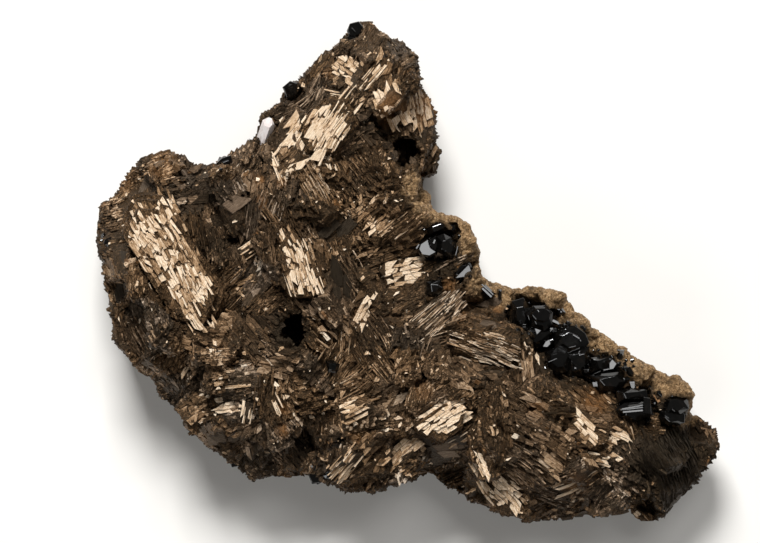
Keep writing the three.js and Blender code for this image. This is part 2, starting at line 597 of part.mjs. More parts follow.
/** What broke off the back at one place: the space under a sloping face. */
function backChip({ at, turn, slope, depth }) {
  const down = face(180 - slope, 0, -depth * Math.cos(radians(slope)));
  const sides = FOUR_WAYS.map((side) => face(90, side + either(SKEW), uneven(BACK_CHIP_HALF)));
  const up = { normal: down.normal.clone().negate(), reach: -down.reach };
  return { faces: [up, face(180, 0, -FLOOR), ...sides], place: placeAt([...at, 0], { turn, lean: 0 }) };
}

/** The body, less what broke off around its sides and its back, and its pits. */
function brokenBody() {
  const isClear = (station) => insetOf(...past(station, CLEAR_REACH)) < -CLEAR_REACH / 2;
  const clear = stations(STATION).filter(isClear);
  const chips = clear.flatMap((station) => [breakage(station, 1), breakage(station, -1)]);
  return [...chips, ...PITS.map(pit), ...BACK_CHIPS.map(backChip)]
    .reduce((body, chip) => body.subtract(grown([chip])), reliefBlock());
}

// ---------------------------------------------------------------- the pieces

const sit = (at, rise) => [at[0], at[1], topAt(...at) + rise];

const pieces = new Map();
for (const { name, at, rise, run, lean, faces, length, width, depth, leaves } of BOOKS) {
  const place = placeAt(sit(at, rise), { turn: run + 90 * faces, lean });
  const stack = { place, sides: leafSides({ width, length }), depth, leaves };
  pieces.set(name, { finish: BOOK_MICA, members: micaStack(stack), seat: stackSeat(stack) });
}
for (const [name, crystals] of Object.entries(CASSITERITE)) {
  pieces.set(name, { finish: BLACK_CASSITERITE, members: crystals.map((crystal) => ({
    faces: cassiteriteFaces(crystal),
    place: placeAt(sit(crystal.at, crystal.rise), crystal),
  })) });
}
for (const [name, crystal] of Object.entries(RIM_CASSITERITE)) {
  pieces.set(name, { finish: BLACK_CASSITERITE, members: [{
    faces: cassiteriteFaces(crystal),
    place: placeAt([...crystal.at, crystal.height], { ...crystal, lean: RIM_LEAN, spin: RIM_SPIN }),
  }] });
}
pieces.set(QUARTZ.name, { finish: CLEAR_QUARTZ, members: [{
  faces: quartzFaces(QUARTZ),
  place: placeAt(sit(QUARTZ.at, QUARTZ.rise), QUARTZ),
}] });

/** Whether a plate here would cover one of the small crystals of the rim. */
function hidesRimCrystal([x, y]) {
  return Object.values(RIM_CASSITERITE).some(({ at }) => Math.hypot(x - at[0], y - at[1]) < RIM_CLEAR);
}

/** The mica plates that are one with the matrix, following the run of the mica around them. */
function fusedPlates() {
  const plates = [];
  for (let x = -PLATE_FIELD[0] / 2; x <= PLATE_FIELD[0] / 2; x += PLATE_SPACING) {
    for (let y = -PLATE_FIELD[1] / 2; y <= PLATE_FIELD[1] / 2; y += PLATE_SPACING) {
      const at = [x + either(PLATE_SPACING / 2), y + either(PLATE_SPACING / 2)];
      if (insetOf(...at) < 0 || hidesRimCrystal(at)) continue;
      const away = (patch) => Math.hypot(at[0] - patch.at[0], at[1] - patch.at[1]);
      const fabric = FABRIC.reduce((best, each) => (away(each) < away(best) ? each : best));
      const way = random() < 0.5 ? 1 : -1;
      const place = placeAt(sit(at, between(PLATE_RISE)), {
        turn: fabric.run + 90 * way + either(TURN_SPREAD),
        lean: Math.min(fabric.lean, STEEPEST) + either(LEAN_SPREAD),
      });
      plates.push(...plate(place));
    }
  }
  return plates;
}

/** One plate that is fused to the matrix. */
function plate(place) {
  const [width, length] = [between(PLATE_WIDTH), between(PLATE_LENGTH)];
  const sides = leafSides({ width, length, ragged: PLATE_UNEVEN });
  return micaStack({ place, sides, depth: between(PLATE_DEPTH), leaves: 1 });
}

/** Ledges around the sides, where the broken mica sticks out as far as the outline. */
function ledges() {
  return stations(LEDGE_SPACING).flatMap((station) => {
    const at = [...past(station, -LEDGE_INSET), between(LEDGE_HEIGHT)];
    const turn = station.outward + either(TURN_SPREAD);
    return plate(placeAt(at, { turn, lean: LEDGE_LEAN + either(LEDGE_LEAN) }));
  });
}

/** One rounded lump: faces spread evenly around it, each leaning off by chance. */
function lump(place) {
  const radius = between(LUMP_RADIUS);
  const goldenTurn = 180 * (3 - Math.sqrt(5));
  const faces = Array.from({ length: LUMP_FACES }, (_, index) => {
    const lean = THREE.MathUtils.RAD2DEG * Math.acos(1 - (2 * index + 1) / LUMP_FACES);
    return face(lean + either(SKEW), index * goldenTurn, uneven(radius));
  });
  return { faces, place };
}

/** The lumps along the crust. */
function crustLumps() {
  const line = pathThrough(CRUST);
  return line.getSpacedPoints(Math.round(line.getLength() / LUMP_SPACING)).map(({ x, y }) => {
    const at = [x + either(LUMP_OFF), y + either(LUMP_OFF)];
    return lump(placeAt(sit(at, between(LUMP_RISE)), { turn: 360 * random(), lean: 0 }));
  });
}

/** The matrix: body, plates and crust in the outline, less the window and a seat for each crystal. */
function matrix() {
  const proud = grown([...fusedPlates(), ...ledges(), ...crustLumps()]);
  let body = brokenBody().add(proud).intersect(prism(OUTLINE, 0, CEILING));
  body = body.subtract(prism(WINDOW, FLOOR, CEILING));
  for (const { members, seat } of pieces.values()) body = body.subtract(grown(seat ?? members, SEAT_GAP));
  return geometryOf(body);
}

const specimen = new THREE.Group();
function place(name, geometry, material) {
  const mesh = new THREE.Mesh(geometry, material);
  mesh.name = name;
  specimen.add(mesh);
}

place('mica_matrix', matrix(), MATRIX_MICA);
for (const [name, { finish: material, members }] of pieces) place(name, geometryOf(grown(members)), material);

// The origin goes under the middle of the whole specimen.
const bounds = new THREE.Box3().setFromObject(specimen);
const middle = bounds.getCenter(new THREE.Vector3());
specimen.position.set(-middle.x, -middle.y, -bounds.min.z);
specimen.updateMatrixWorld(true);

export default specimen;
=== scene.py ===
"""A cassiterite specimen, lying on its broken back with its crystal side up.

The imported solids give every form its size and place. Around them this script breaks the matrix into
thin mica leaves, book by book, splits the six large books into scales, roughens the tan crust along
the upper right edge, and gives the black cassiterite and the one quartz crystal their faces.

Lengths are in millimetres until a mesh is made, and then in metres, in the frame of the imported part.
A tone goes from 0, dark, to 1, pale. "Seen from above" is along the Z axis.
"""

import math

import bmesh
import bpy
import numpy as np
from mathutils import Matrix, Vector
from mathutils.bvhtree import BVHTree


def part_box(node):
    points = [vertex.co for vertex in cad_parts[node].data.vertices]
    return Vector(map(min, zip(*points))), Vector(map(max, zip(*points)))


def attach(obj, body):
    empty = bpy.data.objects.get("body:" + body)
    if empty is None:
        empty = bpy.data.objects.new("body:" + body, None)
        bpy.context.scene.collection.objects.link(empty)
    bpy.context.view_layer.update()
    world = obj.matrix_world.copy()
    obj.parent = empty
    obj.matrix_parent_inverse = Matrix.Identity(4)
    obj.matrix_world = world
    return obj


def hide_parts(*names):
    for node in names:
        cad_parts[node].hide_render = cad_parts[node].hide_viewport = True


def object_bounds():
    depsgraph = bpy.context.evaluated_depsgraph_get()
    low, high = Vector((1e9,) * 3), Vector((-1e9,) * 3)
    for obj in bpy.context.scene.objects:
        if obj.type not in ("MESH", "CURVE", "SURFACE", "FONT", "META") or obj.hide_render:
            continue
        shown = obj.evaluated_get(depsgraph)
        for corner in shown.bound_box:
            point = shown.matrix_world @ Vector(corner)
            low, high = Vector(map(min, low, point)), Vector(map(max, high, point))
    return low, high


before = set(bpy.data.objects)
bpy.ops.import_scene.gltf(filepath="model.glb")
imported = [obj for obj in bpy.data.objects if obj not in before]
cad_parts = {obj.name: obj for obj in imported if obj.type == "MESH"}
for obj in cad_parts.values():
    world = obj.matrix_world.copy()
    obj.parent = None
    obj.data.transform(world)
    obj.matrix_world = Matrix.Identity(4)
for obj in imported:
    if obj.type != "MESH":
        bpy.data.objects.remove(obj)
packed_box = [list(corner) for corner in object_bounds()]

# ---------------------------------------------------------------- named values

SEED = 2713
MIXERS = (np.uint64(0x9E3779B97F4A7C15), np.uint64(0xBF58476D1CE4E5B9))  # two odd numbers that scatter
MM = 0.001
KEPT_INSIDE = 0.02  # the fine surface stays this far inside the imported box

# Where the camera and the lights are, in degrees around and up, and in millimetres.
LENS, SENSOR = 180.0, 36.0
FRAME_WIDTH = 134.6  # what the camera takes in from side to side, at the height below
FRAME_HEIGHT_LEVEL = 17.0
AIM = (-4.87, 0.0)
KEY = {"turn": 100, "height": 50, "distance": 900, "size": 300, "watts": 13.5}
CARD = {"turn": 55, "height": 66, "distance": 900, "size": 320, "watts": 1.7}
FILL = {"turn": 250, "height": 40, "distance": 900, "size": 500, "watts": 2.4}
SKY, SKY_COLOUR = 0.08, (1, 0.97, 0.93, 1)
UNLIT = (320, 78)  # a face that looks this way shows none of the lights
FLOOR_SIZE, FLOOR_LEVEL = 6000, -0.1

# The rock: how finely it is remade, and how its mica breaks.
VOXEL, BOOK_VOXEL = 0.36, 0.3
SMOOTHING = 3  # how often the remade rock is relaxed
EVENING = 8  # how much smoother the surface is that the leaves of the sides lie on
FIELD = ((-58, 60), (-48, 50))  # the books of mica are spread over this, along X and Y
BOOK_SPACING = 5.2
BOOK_TURN, BOOK_LEAN = 24, 14  # a book is off the run and the lean of its place by up to this
LEAST_LEAN, MOST_LEAN = 4, 78  # no book leans less or more
WARP = (1.4, 5.0)  # how far, and over what length, the edge between two books wanders
BREAKS = (
    # along and across a block, the thickness of its leaves, how far one block is off the next
    (5.0, 2.8, 1.15, 1.1),
    (2.1, 1.05, 0.42, 0.8),
)
BOOK_BREAKS = (2.6, 1.0, 0.34, 0.9)  # the same for the six large books
STEEPEST = 0.45  # a side steeper than this to the leaves is moved as if it were this steep
MOVED_FROM = (0.25, 0.6)  # how much of the flats' facing it takes for a side to move at all, and fully
BLOCK_TILT = 0.22  # the slopes of the blocks' tops lie within half of this either way
MOST_MOVED = 0.62  # one breaking moves no point further than this
PROUD = 0.85  # how far a leaf's edge stands out of the sides, in thicknesses
ROUGH_UNDER_PATCH = 0.15  # the share of the breaking that is left under a patch
PATCH_FACING = 0.2  # a patch holds where the rock faces up more than this
RAGGED = (0.5, 1.9)  # how uneven a patch's edge is, and over what length
FRONT_FACING, BACK_FACING = 0.42, -0.6  # where the crystal side ends, and where the back begins
LEFT_ENDS = -6  # the left pieces of the rock end here
LOBES = {"left": (-20.0, -5.0), "right": (22.0, -24.0)}  # what the maps of the sides go around
DARKEST, BRIGHTEST = -0.2, 0.84  # a patch's tones go no further, so that every leaf keeps its streaks
# SHADE_DEPTH is the tone painted where a place is fully in painted shade.
SHADE_DEPTH = 0.8 * DARKEST  # the tone of a place in full shade

# How the mica runs, place by place: the middle, the direction of the leaves' edges and how far
# their flat faces lean from the horizontal, in degrees. Between the places, the nearest counts.
FABRIC = (
    ((-43, 4), -62, 16), ((-46, -6), -75, 48), ((-44, 18), 10, 40), ((-52, 8), 0, 60),
    ((-36, -8), -20, 30), ((-42, -18), 40, 42), ((-35, -28), 25, 36), ((-30, -22), 5, 20),
    ((-29, 8), -60, 55), ((-28, -4), 35, 45), ((-24, 17), 62, 38), ((-16, 31), 68, 66),
    ((-15, 25), 55, 22), ((-10, 37), 50, 30), ((-5, 34), 50, 62), ((-3, 27), -65, 35),
    ((2, 23), 80, 50), ((-12, 16), -45, 48), ((-12, 10), -50, 25), ((-19, 1), -70, 20),
    ((-12, -2), -60, 52), ((-3, 4), 20, 45), ((0, -2), 15, 24), ((6, -7), 40, 68), ((-8, -12), -72, 35),
    ((-24, -14), -30, 50), ((14, -8), 30, 32), ((13, -14), -15, 64), ((22, -16), -60, 26),
    ((2, -17), 60, 44), ((-13, -22), 40, 28), ((-23, -26), -70, 48), ((-8, -28), 15, 30),
    ((-10, -34), 45, 66), ((-1, -32), 45, 34), ((6, -26), 37, 22), ((8, -33), 40, 62),
    ((15, -30), 85, 46), ((16, -38), -55, 24), ((24, -26), -20, 40), ((31, -28), -30, 22),
    ((29, -37), 25, 44), ((37, -30), -50, 30), ((46, -34), -60, 50), ((52, -29), -60, 66),
    ((30, -8), -30, 34), ((45, -20), -30, 34),
)

# The patches that stand out: their middle, half length and half width, the direction of the length,
# the run of the leaves, how the leaves lie, and their tone. The tone is partly the mica's own and partly
# a painted highlight for the flash of the pale patches in the light. "scales", "flakes", "laths" and
# "sheets" lie side by side, flat, and shine. "faces" lie side by side on the rock, and "stripes" are the
# edges of leaves side by side. "plates" are loose, and lean.
PATCHES = (
    # the left lobe
    ((-47.4, 8.2), 6.2, 2.4, -66, -63, "scales", 0.86),
    ((-42.2, 4.5), 11.6, 3.9, -62, -62, "scales", 0.88),
    ((-37.2, -4.4), 5.8, 3, -56, -60, "scales", 0.7), ((-38.6, 4.6), 7.6, 1.2, -62, -62, "scales", 0.5),
    ((-45.6, 0.4), 6.2, 1.4, -62, -62, "scales", 0.84),
    ((-45.4, 14.4), 2.8, 1.2, 80, 80, "faces", 0.28), ((-48.4, 12), 2.4, 1.6, -66, -66, "scales", 0.8),
    ((-42.2, 11.6), 2.6, 1.7, -66, -66, "scales", 0.84),
    ((-50.6, -0.8), 4.2, 1.8, -84, -84, "faces", 0.12), ((-50, 4), 1.9, 1, 0, 0, "faces", 0.78),
    ((-51, 6.4), 3.8, 0.9, 3, 3, "faces", 0), ((-37.7, -8.2), 1.7, 1, -60, -60, "laths", 0.95),
    # the valley, and between the lobes
    ((-32, 9.8), 3, 1.8, 32, 32, "faces", 0.46), ((-28.2, 3.6), 1.5, 1.1, -55, 35, "laths", 0.92),
    ((-29.3, -2), 1, 0.8, 20, 20, "scales", 0.9), ((-30.7, -3.6), 1.3, 0.9, 20, 20, "scales", 0.55),
    ((-27.4, 9), 3.8, 1.5, 80, 80, "stripes", 0.25), ((-22.8, 18.2), 2.9, 0.7, -66, -66, "laths", 1),
    ((-24.2, 19), 1.8, 0.5, -25, -25, "laths", 0.95),
    ((-24.5, 11.5), 3.4, 1.5, -12, 62, "stripes", 0.45),
    ((-13.3, 18.4), 1.7, 0.9, -70, -70, "scales", 0.8),
    # the top lobe
    ((-20.2, 29), 3.4, 0.9, 30, 30, "stripes", 0.48),
    ((-18.9, 30.6), 3.6, 0.9, 50, 50, "stripes", 0.54),
    ((-17, 31.4), 3.6, 0.9, 68, 68, "stripes", 0.48),
    ((-15.3, 31.6), 3.4, 0.8, 86, 86, "stripes", 0.52),
    ((-16.9, 24.3), 5.6, 4.3, 50, 52, "sheets", 0.88), ((-13, 25.4), 6, 3.1, 56, 56, "laths", 0.97),
    ((-18.6, 25), 4, 1.5, 50, 52, "scales", 0.84), ((-10.6, 35.6), 2.9, 2, -42, -42, "flakes", 0.74),
    ((-7.6, 37.2), 1.3, 0.9, 40, 40, "scales", 0.7), ((-6.2, 34.5), 3, 1.3, 50, 50, "laths", 0.92),
    ((-12.4, 31.4), 2.3, 0.6, -20, -20, "laths", 1), ((-3, 28.6), 4, 2.6, -65, -65, "flakes", 0.84),
    ((2.2, 28.2), 4.6, 2, -78, -78, "scales", 0.92), ((-0.4, 23.9), 1.3, 0.7, 10, 10, "scales", 0.92),
    ((2.3, 23.5), 1.6, 1.2, -20, -20, "faces", 0.6),
    # the middle
    ((-19.2, 0.8), 6.2, 1.6, -72, -72, "scales", 0.95),
    ((-16.4, 0.2), 4.6, 1.2, -68, -70, "laths", 0.92),
    ((-20.8, -1.6), 2.4, 0.7, -70, -70, "laths", 0.85), ((-13.6, 8.2), 2.6, 2.5, 47, 47, "faces", 0.02),
    ((-12.3, -3.4), 3.4, 2, 85, 85, "faces", -0.06), ((-1, 0), 3.8, 2.3, 12, 12, "flakes", 0.9),
    ((-6, -2.8), 2.2, 1.6, 20, 20, "faces", 0.5), ((-7.2, -6.6), 4.2, 1.4, 60, 60, "flakes", 0.86),
    ((5.2, 2.1), 1.5, 0.9, 35, 35, "faces", 0.45), ((8, 1.6), 4.2, 0.6, 22, 22, "stripes", 0.4),
    ((5.6, -7), 5, 2.4, 38, 40, "stripes", 0.74), ((13.8, -7), 3.8, 2.4, -8, -8, "faces", 0.34),
    ((13.6, -13.4), 6.4, 2.6, -14, -15, "stripes", 0.95),
    ((20.8, -13.2), 1.1, 0.5, -62, -62, "scales", 0.95),
    ((22.4, -15), 1.1, 0.5, -62, -62, "scales", 0.98), ((23.6, -16.9), 1.2, 0.6, -62, -62, "scales", 1),
    # the heel and the sole
    ((-36, -29.2), 3.6, 2.6, 25, 25, "faces", 0.32), ((-32.2, -23.4), 2.1, 1.3, 5, 5, "flakes", 1),
    ((-28.5, -24.2), 2, 1.3, 80, 80, "laths", 0.98), ((-30.5, -20.1), 2.4, 0.45, 0, 0, "laths", 1),
    ((-30.5, -21.2), 2.2, 0.4, 0, 0, "faces", 0.3), ((-30.3, -29), 1.3, 0.9, 30, 30, "scales", 0.75),
    ((-23.4, -23.2), 2.2, 1.6, -65, -65, "laths", 0.76),
    ((-11.5, -21.5), 1.6, 1, 60, 60, "scales", 0.84), ((-16, -21.2), 0.9, 0.6, 60, 60, "scales", 0.8),
    ((-9.4, -23.8), 3.4, 1.8, 25, 25, "flakes", 0.72), ((-10, -27), 5, 1.2, 10, 12, "plates", 0.64),
    ((-9, -29.2), 1.2, 0.9, 15, 15, "scales", 0.7), ((-11.8, -34.4), 4, 2, 48, 47, "laths", 0.8),
    ((-1.6, -31.6), 3.2, 1.8, 45, 45, "flakes", 0.66), ((6, -26.8), 5.7, 3.3, 38, 37, "flakes", 1),
    ((9, -30.2), 3.2, 1, 40, 40, "laths", 0.86), ((6.4, -32.6), 2.6, 1.4, 30, 30, "faces", 0.42),
    ((14.8, -31), 3, 1.6, 85, 85, "plates", 0.55), ((15.6, -38), 5.8, 2.7, -42, -55, "flakes", 0.94),
    ((17.7, -37.5), 1.6, 0.9, -55, -55, "scales", 1),
    # the toe
    ((31.2, -27.2), 3, 1.3, -45, -45, "scales", 1), ((31, -24.9), 1.2, 0.6, -10, -10, "scales", 0.9),
    ((36.2, -28.3), 2.8, 1.4, -25, -25, "scales", 1), ((33.6, -33.1), 2, 0.9, -20, -20, "scales", 1),
    ((36.3, -32.1), 1, 0.5, -30, -30, "scales", 0.95),
    ((38.3, -32), 0.8, 0.4, -40, -40, "scales", 0.95), ((29.5, -37), 4.2, 1.6, 25, 25, "laths", 0.72),
    ((25, -39.5), 3.6, 1.4, -35, -35, "stripes", 0.4), ((33, -40.2), 3.6, 1.4, 60, 60, "stripes", 0.4),
    ((47.2, -35.4), 7.6, 4.8, -62, -62, "stripes", -0.3),
    ((54, -30.2), 2, 0.8, -60, -60, "laths", 0.84), ((50.6, -28.4), 2.6, 1.1, -28, -28, "faces", 0.36),
)
SHINING = ("scales", "laths", "sheets", "flakes")

# Rust in the mica and the crust: the middle of each spot, its radius and how strong it is.
RUST = (
    ((-25.5, 12.5), 1.1, 0.9), ((-26, 16), 1, 0.9), ((-22, 15.5), 1, 0.8), ((16, -6.3), 1.1, 0.9),
    ((7.2, -2.4), 1.4, 1), ((32.8, -23), 2.6, 0.9), ((-21.6, -24.1), 1.2, 0.9),
    ((-21.8, -27.8), 1.3, 0.9), ((2.8, 28.6), 3, 0.8), ((-2.8, 28.2), 3.4, 0.6),
    ((9.7, -8.5), 1.6, 0.6), ((-43.2, 18.8), 2.8, 0.5), ((-50.2, 15.4), 1.6, 0.6),
    ((-8.3, -7.6), 1.6, 0.5), ((-13.8, 35), 1.2, 0.6), ((29.4, -37.2), 2.6, 0.4),
    ((-9.2, -29), 1.2, 0.6), ((2.6, -20.8), 2, 0.4), ((45, -19.6), 2.2, 0.5), ((22.5, -24), 1.8, 0.5),
)

# The tan crust along the crystals: the line it follows and how far it reaches from it.
CRUST_LINE = (
    (1.6, 15.5), (3.6, 11.4), (8, 8.9), (11.2, 6.4), (12.2, 2.6), (13.2, -2), (17, -3.8), (22, -3.6),
    (26.5, -4.4), (28.6, -7.2), (32, -10.6), (36, -13.6), (40.5, -16.8), (46, -19.6), (49.6, -22),
    (49.6, -25),
)
CRUST_REACH = (1.6, 3.6)
CRUST_LEVEL = (4, 9)  # it begins between these heights
CRUST_LUMPS = ((2.3, 0.62), (1.1, 0.40), (0.6, 0.18))  # the size of its lumps, and how high they are

# The dark places, painted into the tone: shade painted into the valley, the pits and under the top lobe,
# and the rock's own dark in the groove and the toe block. Each has its middle, radius and how dark.
PAINTED_SHADE_AND_DARK_ROCK = (
    ((-32.4, 6), 4.5, 0.6), ((-20.4, -10.6), 4.6, 1), ((-18.6, -30.2), 3.2, 0.7), ((-1, 21.5), 3, 0.9),
    ((7.5, 0.5), 4, 0.8), ((5, -2.8), 2.2, 0.9), ((21.5, -9), 5.5, 0.9), ((28, -14.5), 6, 0.9),
    ((34.5, -18.5), 4, 0.8), ((47, -35.4), 9.5, 1), ((51.5, -34), 4.6, 0.9), ((-4.5, 25.4), 2, 0.7),
    ((-34.5, 14), 3.5, 0.5), ((41.5, -23), 3.5, 0.6), ((47.4, -24.6), 3, 0.8),
)

# The pits, where no leaf lies: middle, radius and strength.
PITS = (
    ((-20.2, -10.4), 2.1, 1), ((-19.5, -7.9), 1.4, 1), ((-21, -12.7), 1.3, 1), ((-18.6, -30.2), 1.6, 1),
    ((0.2, 21.2), 1.3, 1), ((-1.6, 22.6), 1.2, 1), ((-3.6, 24), 0.9, 1), ((-5.4, 25.8), 0.7, 1),
    ((-1.3, 18.9), 1.3, 1), ((-6.9, 27.6), 0.6, 1),
)

# Where the black crystals leave no room for mica: middle, radius and strength.
CRYSTAL_SPACE = (
    ((5.6, 5.2), 3.6, 1), ((9.8, 0.2), 2, 1), ((4.8, -2.8), 1.7, 1), ((20.2, -8), 3.2, 1),
    ((23, -9.4), 3.8, 1), ((28.4, -12.6), 3.9, 1), ((27.4, -16), 3.4, 1), ((31.4, -16.4), 2.6, 1),
    ((35, -17.8), 3.4, 1), ((39.8, -22.6), 3.6, 1), ((47, -24.4), 2.9, 1), ((41.5, -26), 1.8, 1),
)
ORE_LEVEL = (9, 12)  # the rock between them turns black from one of these heights to the other

# Loose leaves of mica: length, width and thickness, each from the least to the most, and how far the
# sizes lean to the least: 1 is even.
LEAF_SIZES = {
    "plates": ((0.8, 3.4), (0.5, 1.9), (0.12, 0.34), 1.6),
    "ground": ((0.5, 2.4), (0.35, 1.6), (0.10, 0.34), 2.0),
    "flecks": ((0.35, 1.2), (0.16, 0.6), (0.08, 0.22), 1.5),
    "glints": ((0.35, 1.8), (0.16, 0.9), (0.06, 0.12), 1.8),
    "eaves": ((1.2, 2.4), (0.7, 1.5), (0.25, 0.6), 1.0),
    "sides": ((0.9, 2.6), (0.7, 1.8), (0.3, 0.6), 1.2),
}
PLATE_SPACING = 0.6  # how far apart plates are laid, as a share of their mean length and width
# How far apart the others are laid.
GROUND_STEP, FLECK_STEP, GLINT_STEP, SIDE_STEP = 1.95, 0.95, 2.6, 1.15
GROUND_RISE = 0.04  # how far the ground leaves lie over the rock
MOST_LIFTED = 0.8  # a loose leaf whose end is further off the rock is broken shorter
SHORTER, LENGTHS_TRIED = 0.6, 3  # each length tried is this share of the one before, and there are 3
# The corners of a leaf, in half lengths and half widths.
LEAF_CORNERS = {
    6: ((-1.0, 0.0), (-0.45, 1.0), (0.62, 0.95), (1.0, 0.0), (0.45, -1.0), (-0.62, -0.95)),
    4: ((-0.9, -0.1), (-0.2, 1.0), (0.9, 0.1), (0.2, -1.0)),
}

# The leaves that lie side by side in rows: the length and width of one, and its thickness.
CELL_SIZES = {
    "scales": ((0.9, 3.6), (0.35, 1.15), (0.16, 0.42)), "laths": ((2.0, 6.0), (0.20, 0.60), (0.16, 0.46)),
    "sheets": ((2.2, 4.6), (1.2, 2.4), (0.22, 0.44)), "faces": ((2.6, 5.4), (1.4, 3.0), (0.20, 0.40)),
    "stripes": ((1.4, 4.8), (0.12, 0.34), (0.20, 0.50)), "blocks": ((0.8, 2.4), (0.50, 1.60), (0.18, 0.44)),
    "crumbs": ((0.35, 1.3), (0.25, 0.85), (0.16, 0.50)), "flakes": ((1.1, 3.0), (0.6, 1.5), (0.16, 0.36)),
}
CELL_GAP = 0.035  # the crack between two of them
CELL_SKEW = 0.9  # how far their ends are off square
CELL_SPLIT = 0.3  # the share of them that is split in two along the length
CELL_WARP = ((0.35, 2.4), (1.5, 7.0))  # how far, and over what length, the rows wander
CELL_LAYERS = (1.0, 0.25)  # the share of them that is there, in the lower layer and the upper one
CELL_RISE = (0.12, 0.36)  # how far they lie over the rock
MOST_SUNK = 0.10  # how far evening out the rock under them may sink them
MOST_BRIDGED = 1.8  # one that is further off the rock isn't there
FACING_REACH = 1.8  # how far around one the lie of the rock counts
FACET_SIZE, FACET_TILT = 2.3, 0.55  # parts of a book that face one way and have one tone
# The share of the books whose leaves break one way or another.
HABITS = {"stripes": 0.17, "blocks": 0.40, "crumbs": 0.43}
BOOK_SHARE = 0.93  # the share of a book's leaves that is there
# How far a leaf is off its patch's lie (degrees), how uneven the tone is, and the share that is missing.
LEAF_SPREAD = {
    "scales": (5.5, 0.52, 0.05), "flakes": (4.0, 0.30, 0.0), "laths": (4.0, 0.42, 0.02),
    "sheets": (3.0, 0.20, 0.0), "faces": (4.0, 0.12, 0.0), "plates": (8, 0.30, 0.0),
    "stripes": (6.0, 0.60, 0.04),
}
SLEEK = {"faces": 0.5, "sheets": 0.3, "blocks": 0.2}  # how even a leaf is
PATCH_ASH = {"faces": 0.9, "stripes": 0.7}  # how grey their dark leaves are
# How its texture is combed along the leaf: scale along and across.
COMBED = {
    "laths": (0.4, 1.7), "sheets": (0.16, 2.4), "scales": (0.5, 1.5), "faces": (0.3, 1.8),
    "stripes": (0.4, 1.6), "blocks": (0.5, 1.5), "crumbs": (1.0, 1.0), "flakes": (0.5, 1.4),
}

# The large books: the run and the lean of their leaves, and the way they face.
BOOKS = {
    "left_mica_book": (-60, 9, -1), "top_mica_book": (52, 14, 1), "middle_mica_book": (-68, 12, 1),
    "groove_mica_book": (-14, 38, -1), "sole_mica_book": (37, 13, -1), "toe_mica_book": (-30, 12, 1),
}

